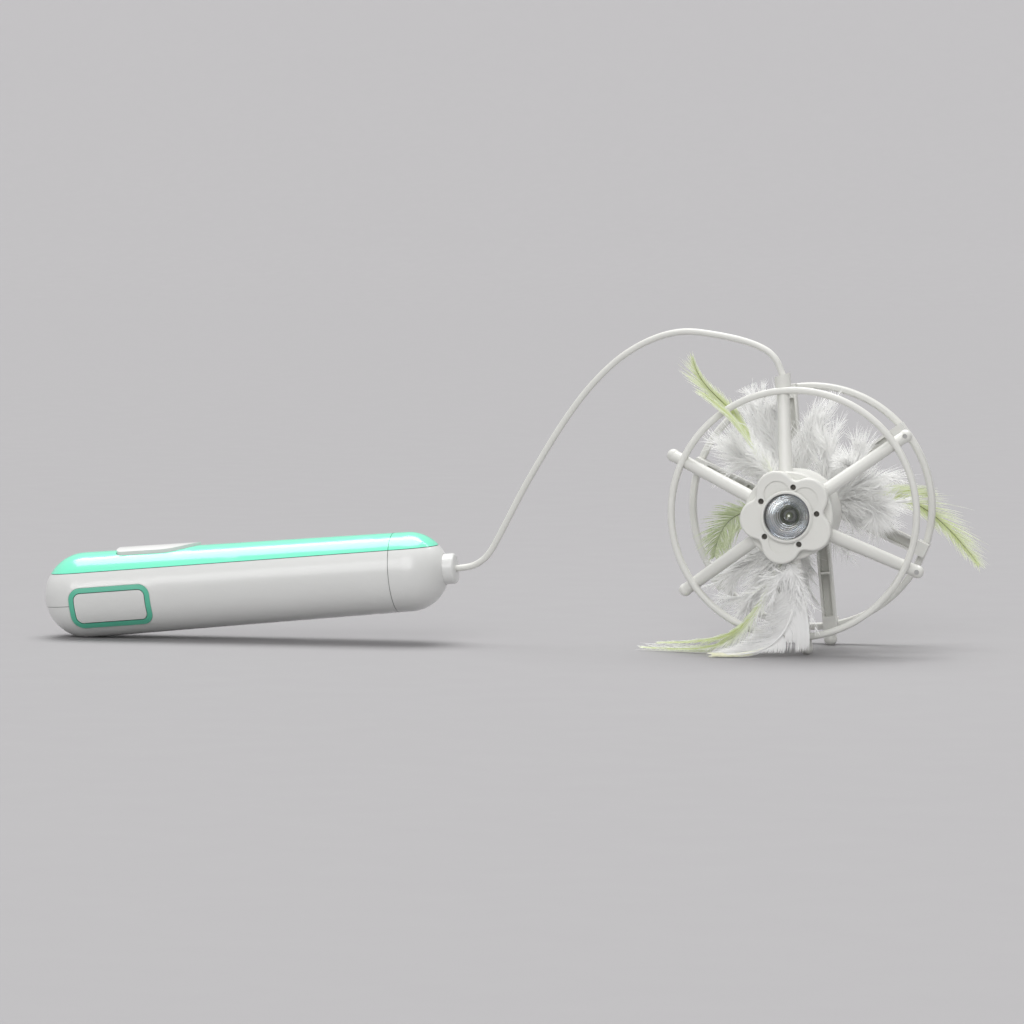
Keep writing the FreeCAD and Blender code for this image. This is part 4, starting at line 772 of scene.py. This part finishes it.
# Feathers of each node: the shaft's four Bezier corners in mm about the cage's middle, the way the
# vane faces, the quill's radius and tone, and the vane's layers as vane() takes them
HACKLES = {
    "upper_hackle": (
        (
            ((-18.4, -19, 28.7), (-23.8, -19, 43.3), (-38.2, -19, 46), (-41.4, -19, 60.5)),
            (0.1, -1.0, 0.5), 0.24, (0.3, 0.0, 0.0),
            (
                (-1, (1.0, 1.3, 1.4, 1.4, 1.2, 1.0, 0.5), 19, 130, (0.2, 0.14), 0.3, 0.9),
                (1, (1.0, 1.5, 1.6, 1.5, 1.3, 1.0, 0.5), 20, 130, (0.2, 0.14), 0.3, 0.9),
                (-1, (1.8, 2.9, 3.5, 3.6, 3.1, 2.2, 0.9), 21, 80, (0.35, 0.3), 0.4, 1.1),
                (1, (1.5, 2.4, 2.8, 2.7, 2.3, 1.6, 0.9), 22, 80, (0.3, 0.25), 0.4, 1.1),
            ),
        ),
        (
            ((-4.8, -36.3, 13.7), (-18.2, -34.1, 28.3), (-18.0, -32.9, 36.5), (-36.3, -31.2, 47.6)),
            (0.1, -1.0, 0.5), 0.22, (1.0, 1.0, 0.9, 0.15, 0.0),
            (
                (-1, (0, 0.4, 1.0, 1.4, 1.5, 1.3, 0.6), 19, 110, (0.3, 0.14), 0.35, 0.9),
                (1, (0, 0.5, 1.2, 1.4, 1.2, 1.0, 0.5), 19, 110, (0.3, 0.14), 0.35, 0.9),
                (-1, (0, 0, 0.6, 2.0, 3.0, 2.6, 1.4), 17, 44, (0.5, 0.4), 0.3, 1.4),
            ),
        ),
    ),
    "side_hackle": (
        (
            ((6.9, 23.5, 1.3), (33.8, 27, 12.8), (49.6, 34.4, -0.8), (66.8, 33.3, -23.2)),
            (0.15, -1.0, 0.5), 0.26, (0.4, 0.0, 0.0),
            (
                (1, (0, 1.6, 2.2, 2.2, 2.0, 1.8, 1.4, 0.6), 26, 150, (0.18, 0.12), 0.25, 1.0),
                (-1, (0, 1.4, 1.8, 1.8, 1.6, 1.4, 1.0, 0.5), 24, 150, (0.18, 0.12), 0.25, 1.0),
                (-1, (0, 3.4, 5.4, 6.2, 6.0, 5.2, 3.8, 1.6), 25, 140, (0.35, 0.3), 0.4, 0.9),
                (1, (0, 3.2, 5.0, 5.4, 5.0, 4.2, 3.2, 1.4), 36, 130, (0.35, 0.25), 0.4, 1.0),
            ),
        ),
        (
            ((18, 24.5, 4.6), (27, 30, 6.8), (36, 33, 7.6), (47.4, 34, 4.2)),
            (0.15, -1.0, 0.5), 0.2, (0.1, 0.1),
            (
                (1, (0.6, 1.4, 1.6, 1.4, 0.6), 22, 100, (0.2, 0.12), 0.3, 0.8),
                (-1, (0.6, 1.6, 2.6, 3.4, 2.4), 26, 90, (0.25, 0.2), 0.5, 1.0),
            ),
        ),
    ),
    "lower_hackle": (
        (
            ((-0.3, -36, -11.5), (-18.4, -30.3, -52.0), (-21.5, -32, -55.6), (-61.0, -22.6, -54.2)),
            (0.0, -0.9, 0.8), 0.26, (1.0, 0.8, 0.2, 0.1),
            (
                (
                    1, (0, 1.4, 3.2, 2.8, 1.3, 0.9, 0.8, 0.5), 17, 120,
                    (0.9, 0.2, 0.1, 0.15, 0.25, 0.3), 0.4, 1.4,
                ),
                (
                    -1, (0, 0.8, 1.8, 2.0, 1.0, 0.7, 0.5, 0.4), 20, 130,
                    (0.9, 0.6, 0.4, 0.3, 0.3, 0.3), 0.4, 1.4,
                ),
                (
                    1, (0, 2.4, 5.4, 7.0, 5.6, 4.0, 2.6, 1.0), 15, 60,
                    (0.9, 0.3, 0.25, 0.6, 0.65), 0.5, 1.9,
                ),
                (
                    -1, (0, 2.0, 6.0, 5.5, 2.2, 1.0, 0.8, 0.5), 30, 110,
                    (0.9, 0.8, 0.8, 0.6), 0.2, 1.3,
                ),
            ),
        ),
        (
            ((-13.5, -31.5, -36), (-20, -31, -49), (-29, -29.5, -51.0), (-54, -24.5, -52.0)),
            (0.0, -0.9, 0.8), 0.2, (0.1, 0.2),
            (
                (1, (1.8, 3.2, 2.6, 1.6, 1.0, 0.5), 17, 90, (0.15, 0.45), 0.5, 1.5),
                (-1, (0.8, 1.2, 1.2, 1.0, 0.8, 0.4), 18, 100, (0.12, 0.3), 0.3, 1.2),
            ),
        ),
    ),
    "cream_hackle": (
        (
            ((0.2, -37.3, -17.6), (7.2, -38.2, -44), (-5.5, -36.9, -56.5), (-28.0, -43.7, -54.8)),
            (0.0, -0.9, 0.8), 0.22, (1.0, 1.0, 1.0),
            (
                (
                    -1, (0, 0, 0, 0, 0, 0, 1.6, 2.0, 1.0), 20, 260,
                    (1.0, 1.0, 1.0, 0.5, 0.3), 0.4, 1.0,
                ),
                (
                    1, (0, 0, 0, 0, 0, 0, 1.8, 2.2, 1.0), 20, 260,
                    (1.0, 1.0, 1.0, 0.5, 0.3), 0.4, 1.0,
                ),
            ),
        ),
    ),
    "olive_hackle": (
        (
            ((-11.9, 2, -1.3), (-27, 3.2, 1.5), (-34.5, 3.5, -5.5), (-36.6, 5, -19.5)),
            (0.1, -1.0, 0.4), 0.24, (0.0, 0.0),
            (
                (1, (2.0, 4.0, 5.6, 6.2, 6.2, 5.4, 3.6, 1.0), 40, 150, (0.1, 0.3, 0.1), 0.3, 1.2),
                (-1, (3.0, 7.0, 9.5, 9.5, 8.5, 7.0, 5.0, 2.0), 62, 150, (0.2, 0.45, 0.3), 0.4, 1.4),
            ),
        ),
    ),
}

# Downy shafts at the feet of some feathers, as in DOWN
FLUFF = {
    "upper_hackle": (
        (((-4.8, -36.3, 13.7), (-8, -35.9, 19), (-11, -35.5, 24), (-14, -35, 28)), 250, 6),
    ),
    "lower_hackle": (
        (((-0.3, -35.5, -12), (-5, -34.5, -22), (-9, -33.5, -31), (-13, -32.5, -39)), 400, 7),
    ),
    "lower_plume": (
        (((0, -37.4, -17.6), (-2, -38.6, -22), (-4, -38.8, -27), (-5.5, -38.6, -32)), 250, 6),
        (((0.2, -38, -17.6), (1, -39.4, -21), (2.5, -40, -26), (3, -40, -31)), 300, 5),
        (((0.4, -37.4, -17.6), (3, -39, -24), (5.5, -40, -31), (7.4, -40.2, -39)), 300, 5),
    ),
}


def fluff(bundle, name, wide, low):
    """Downy barbs at a feather's foot, if it has any; low is their lowest tint."""

    def keep(paths):
        return above_floor(paths, seed=5)

    rng = np.random.default_rng(FLUFF_SEED)
    for shaft, count, longest in FLUFF.get(name, ()):
        down_plume(bundle, shaft, count, longest, wide, rng, keep, low)


class WAND_OT_hackles(bpy.types.Operator):
    """Make the green and cream feathers on the cage and the olive one on the rotor"""

    bl_idname = "wand.hackles"
    bl_label = "Hackles"

    def execute(self, context):
        colours = context.scene.wand_colours
        wide = context.scene.wand_sizes.vane_width / MM
        green = feathery("Hackle green", (
            (0.0, opaque(colours.leaf, 0.3)),
            (0.1, opaque(colours.leaf)),
            (0.5, opaque(colours.pale)),
            (1.0, opaque(colours.down)),
        ))
        cream = feathery("Hackle cream", (
            (0.0, opaque(colours.cream, 0.85)),
            (0.5, opaque(colours.cream)),
            (1.0, opaque(colours.down)),
        ))
        olive = feathery("Hackle olive", (
            (0.0, opaque(colours.olive, 0.5)),
            (0.1, opaque(colours.olive)),
            (1.0, opaque(colours.pale)),
        ))
        coats = {"cream_hackle": ("cream", cream), "olive_hackle": ("olive", olive)}
        for seed, (name, feathers) in enumerate(HACKLES.items()):
            rng = np.random.default_rng(HACKLE_SEED + seed)
            bundle = Bundle()
            for shaft, facing, thick, tone, layers in feathers:
                for layer in layers:
                    vane(bundle, shaft, facing, layer, wide, rng)
                quill(bundle, shaft, facing, thick, tone)
            fluff(bundle, name, wide, 0.8)
            kind, material = coats.get(name, ("green", green))
            piece = bundle.piece(name + "_vane", material)
            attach(piece, "rotor" if kind == "olive" else "root")
            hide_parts(name)
        return {"FINISHED"}


# The plume's quill, the edge of its left vane, and the layers along its tip, as in HACKLES
PLUME_SHAFT = ((0.2, -38.3, -17.6), (7.4, -39.2, -43), (-5, -36.9, -55.5), (-23.0, -42.0, -54.6))
LEFT_EDGE = ((-6.5, -36.6, -33), (-10.5, -36.6, -44), (-18, -37.5, -51.5), (-30, -40, -54.2))
PLUME_LAYERS = (
    (-1, (0, 0, 0, 0, 0.3, 0.8, 1.2, 1.2, 0.8), 22, 200, (0.5, 0.5), 0.3, 0.6),
    (1, (0, 0, 0, 0, 0.3, 0.8, 1.2, 1.2, 0.8), 22, 160, (0.5, 0.5), 0.3, 0.8),
)

# Streaks of tone over a draped vane, and the widths along its barbs
STREAKS = 110
DRAPED_TAPER = np.array([0.8, 1.0, 1.0, 1.0, 1.0, 0.95, 0.85, 0.6, 0.0])

# The right vane's edge: its height on the floor, and its notch along X, in mm as above
FLOOR_EDGE = -54.4
NOTCH_MIDDLE = 0.8
NOTCH_HALF = 2.3


def draped(bundle, roots, ends, bulge, wide, low, rng):
    """Flat barbs from places on the quill to places on the vane's edge, on quadratic Bezier curves
    whose middle corner stands off the straight line by the bulge.

    Neighbours share a tone, in streaks, and low is the least tone that a streak may have."""
    count = len(roots)
    middle = (roots + ends) / 2 + bulge
    s = np.linspace(0, 1, len(DRAPED_TAPER))[None, :, None]
    paths = roots[:, None] * (1 - s) ** 2 + middle[:, None] * 2 * s * (1 - s) + ends[:, None] * s**2
    width = wide * rng.uniform(0.7, 1.3, count)
    across = np.tile(np.array([[1.0, 0.3, 0.2]]), (count, 1))
    streaks = rng.uniform(low, 1, STREAKS)
    spots = np.linspace(0, STREAKS - 1, count)
    tone = 0.7 * np.interp(spots, np.arange(STREAKS), streaks) + rng.uniform(0, 0.15, count)
    half = np.full(count, BARB_HALF)
    shape = strands(above_floor(paths, seed=3), across, width / 2, half, DRAPED_TAPER)
    bundle.add(shape, lambda share, strand: tone[strand] + 0.2 * share)


def right_vane(bundle, wide, rng):
    """The plume's right vane, hung to a ragged edge on the floor and notched where barbs stop
    short."""
    count = 380
    shares = 0.05 + 0.85 * (np.arange(count) + rng.uniform(0, 1, count)) / count
    roots = bezier(PLUME_SHAFT, shares)
    edge = np.interp(shares, (0.05, 0.3, 0.6, 0.9), (8.4, 5.5, -4.0, -19.0))
    rise = np.interp(edge, (-19, -8, 3, 5, 9), (0.0, 0.8, 0.8, 2.0, 4.2))
    rise = rise * rng.uniform(0.3, 1, count)
    notch = (np.abs(edge - NOTCH_MIDDLE) < NOTCH_HALF) * rng.uniform(3.6, 4.8, count)
    notch = notch * (rng.uniform(0, 1, count) > 0.03)
    deep = roots[:, 1] - 0.8 + rng.uniform(-0.5, 0.5, count)
    spots = edge + rng.normal(0, 0.3, count)
    ends = np.stack([spots, deep, rise + notch + FLOOR_EDGE], axis=-1)
    away = 1 - shares
    bulge = np.stack([3.6 * away, -0.5 * shares, 3.0 * away], axis=-1)
    draped(bundle, roots, ends, bulge, wide, 0.15, rng)


def left_vane(bundle, wide, rng):
    """The plume's left vane: barbs lie along the quill and end on an edge to its left."""
    count = 340
    first, run = 0.08, 0.66
    shares = first + run * (np.arange(count) + rng.uniform(0, 1, count)) / count
    roots = bezier(PLUME_SHAFT, shares)
    edge = bezier(LEFT_EDGE, (shares - first) / run)
    ends = edge + rng.normal(0, 0.5, (count, 3))
    along = slope(PLUME_SHAFT, shares) * 0.35 * np.linalg.norm(ends - roots, axis=1, keepdims=True)
    bulge = along * np.linspace(0.6, 0.5, count)[:, None]
    draped(bundle, roots, ends, bulge, wide, 0.35, rng)


class WAND_OT_plume(bpy.types.Operator):
    """Make the stiff white plume at the front"""

    bl_idname = "wand.plume"
    bl_label = "Plume"

    def execute(self, context):
        white = context.scene.wand_colours.down
        wide = context.scene.wand_sizes.vane_width / MM
        stops = ((0.0, opaque(white, 0.72)), (0.35, opaque(white, 0.97)), (1.0, opaque(white)))
        material = feathery("Plume white", stops, 0.01)
        bundle = Bundle()
        rng = np.random.default_rng(PLUME_SEED)
        right_vane(bundle, wide, rng)
        left_vane(bundle, wide, rng)
        for layer in PLUME_LAYERS:
            vane(bundle, PLUME_SHAFT, (0.1, -1.0, 0.5), layer, wide * 1.2, rng)
        fluff(bundle, "lower_plume", wide, 0.3)
        quill(bundle, PLUME_SHAFT, (0.0, -4.0, 0.0), 0.46, (1.0, 1.0), 0.3)
        piece = bundle.piece("lower_plume_vane", material)
        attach(piece, "root")
        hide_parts("lower_plume")
        return {"FINISHED"}


# Stage: floor, light and camera

# The sheet in metres: its near edge, where it begins to curve, the curve's radius and half a width
STAGE_NEAR = -6.0
STAGE_FAR = 7.0
STAGE_CURVE = 4.0
STAGE_HALF = 9.0

# The camera's place in metres, its sensor's width in mm, and how often light may bounce
CAMERA_PLACE = (0.38521, -1.80006, 0.1696)
SENSOR_WIDTH = 36.0
BOUNCES = 16


def stage_sheet():
    """A floor that curves up at the back: a flat run and a quarter circle, carried along X."""
    turn = np.linspace(0, math.pi / 2, 25)
    y = np.concatenate([[STAGE_NEAR], STAGE_FAR + STAGE_CURVE * np.sin(turn)])
    z = np.concatenate([[0.0], STAGE_CURVE * (1 - np.cos(turn))])
    x = np.array([-STAGE_HALF, STAGE_HALF])
    corners = np.stack([
        np.repeat(x[None], len(y), axis=0),
        np.repeat(y[:, None], 2, axis=1),
        np.repeat(z[:, None], 2, axis=1),
    ], axis=-1).reshape(-1, 3)
    i = np.arange(len(y) - 1)[:, None] * 2
    quads = i + np.array([[0, 1, 3, 2]])
    mesh = bpy.data.meshes.new("floor_sheet")
    mesh.from_pydata(corners.tolist(), [], quads.tolist())
    mesh.shade_smooth()
    return mesh


def lamp(name, kind, place, target, energy, **settings):
    """A light at a place, aimed at a target."""
    data = bpy.data.lights.new(name, kind)
    data.energy = energy
    for key, value in settings.items():
        setattr(data, key, value)
    item = bpy.data.objects.new(name, data)
    item.location = place
    item.rotation_euler = (Vector(target) - Vector(place)).to_track_quat("-Z", "Y").to_euler()
    bpy.context.scene.collection.objects.link(item)
    return item


def stage_paper(rgb):
    """Matt paper of the sheet, a little lighter where it curves up and the key light is weaker."""
    material, tree, place, output = fresh("Stage paper")
    high = shader_node(tree, "ShaderNodeSeparateXYZ", {0: place}).outputs["Z"]
    stops = ((0.0, opaque(rgb)), (0.15, opaque(rgb, 1.022)), (1.0, opaque(rgb, 1.28)))
    base = ramp(tree, high, stops)
    faint = spread(tree, noise(tree, place, 3.0), 0.0, 0.01)
    principled(tree, output, {
        "Base Color": multiply(tree, faint, base, (0.7, 0.7, 0.7, 1.0)),
        "Roughness": spread(tree, noise(tree, place, 40.0), 0.75, 0.85),
        "Specular IOR Level": 0.2,
    })
    return material


class WAND_OT_stage(bpy.types.Operator):
    """Set the pale floor, the soft light and the camera"""

    bl_idname = "wand.stage"
    bl_label = "Stage"

    def execute(self, context):
        scene = context.scene
        stage = scene.wand_stage
        floor = bpy.data.objects.new("floor_sheet", stage_sheet())
        floor.data.materials.append(stage_paper(stage.floor))
        scene.collection.objects.link(floor)
        scene.world = bpy.data.worlds.new("Even light")
        scene.world.use_nodes = True
        sky = scene.world.node_tree.nodes["Background"]
        sky.inputs["Color"].default_value = (1.0, 0.995, 1.0, 1.0)
        sky.inputs["Strength"].default_value = stage.sky
        lamp("Key", "SUN", (-0.22, 0.7, 2.5), (0, 0, 0), stage.sun, angle=math.radians(46))
        lamp("Front", "SUN", (0.0, -2.2, 1.2), (0, 0, 0), stage.front, angle=math.radians(40))
        lamp(
            "Snoot", "SPOT", (0.5, -1.78, 0.72), (0.123, 0.0, 0.056), stage.snoot,
            spot_size=math.radians(11), spot_blend=0.8, shadow_soft_size=0.12,
        )
        strip = lamp(
            "Strip", "AREA", (0.0, 0.42, 0.85), (0, 0, 0.03), 2.4,
            shape="RECTANGLE", size=1.4, size_y=0.08,
        )
        window = lamp(
            "Window", "AREA", (-1.1, -1.7, 1.0), (0.1, 0, 0.05), 4.0,
            shape="RECTANGLE", size=0.5, size_y=0.6,
        )
        strip.visible_diffuse = window.visible_diffuse = False
        camera = bpy.data.cameras.new("Camera")
        camera.lens = stage.lens
        camera.sensor_width = SENSOR_WIDTH
        camera.clip_start = 0.05
        viewer = bpy.data.objects.new("Camera", camera)
        viewer.location = CAMERA_PLACE
        viewer.rotation_euler = Euler((math.pi / 2 - stage.elevation, 0.0, stage.azimuth))
        scene.collection.objects.link(viewer)
        scene.camera = viewer
        scene.view_settings.view_transform = "Standard"
        scene.cycles.max_bounces = BOUNCES
        scene.cycles.diffuse_bounces = BOUNCES
        return {"FINISHED"}


class WAND_PT_panel(bpy.types.Panel):
    """Sizes, colours and steps of the wand"""

    bl_idname = "WAND_PT_panel"
    bl_label = "Cat Teaser Wand"
    bl_space_type = "VIEW_3D"
    bl_region_type = "UI"
    bl_category = "Wand"

    def draw(self, context):
        for group in (getattr(context.scene, name) for name in GROUPS):
            for key in group.__annotations__:
                self.layout.prop(group, key)
        for operator in OPERATORS:
            self.layout.operator(operator.bl_idname)


GROUPS = {"wand_sizes": WandSizes, "wand_colours": WandColours, "wand_stage": WandStage}
OPERATORS = (
    WAND_OT_stage, WAND_OT_finishes, WAND_OT_cable, WAND_OT_down, WAND_OT_hackles, WAND_OT_plume,
)


def register():
    for cls in (*GROUPS.values(), *OPERATORS, WAND_PT_panel):
        bpy.utils.register_class(cls)
    for name, group in GROUPS.items():
        setattr(bpy.types.Scene, name, bpy.props.PointerProperty(type=group))


def unregister():
    for name in GROUPS:
        delattr(bpy.types.Scene, name)
    for cls in (WAND_PT_panel, *reversed(OPERATORS), *GROUPS.values()):
        bpy.utils.unregister_class(cls)


def main():
    register()
    bpy.ops.wand.stage()
    bpy.ops.wand.finishes()
    bpy.ops.wand.cable()
    bpy.ops.wand.down()
    bpy.ops.wand.hackles()
    bpy.ops.wand.plume()


if __name__ == "__main__":
    main()
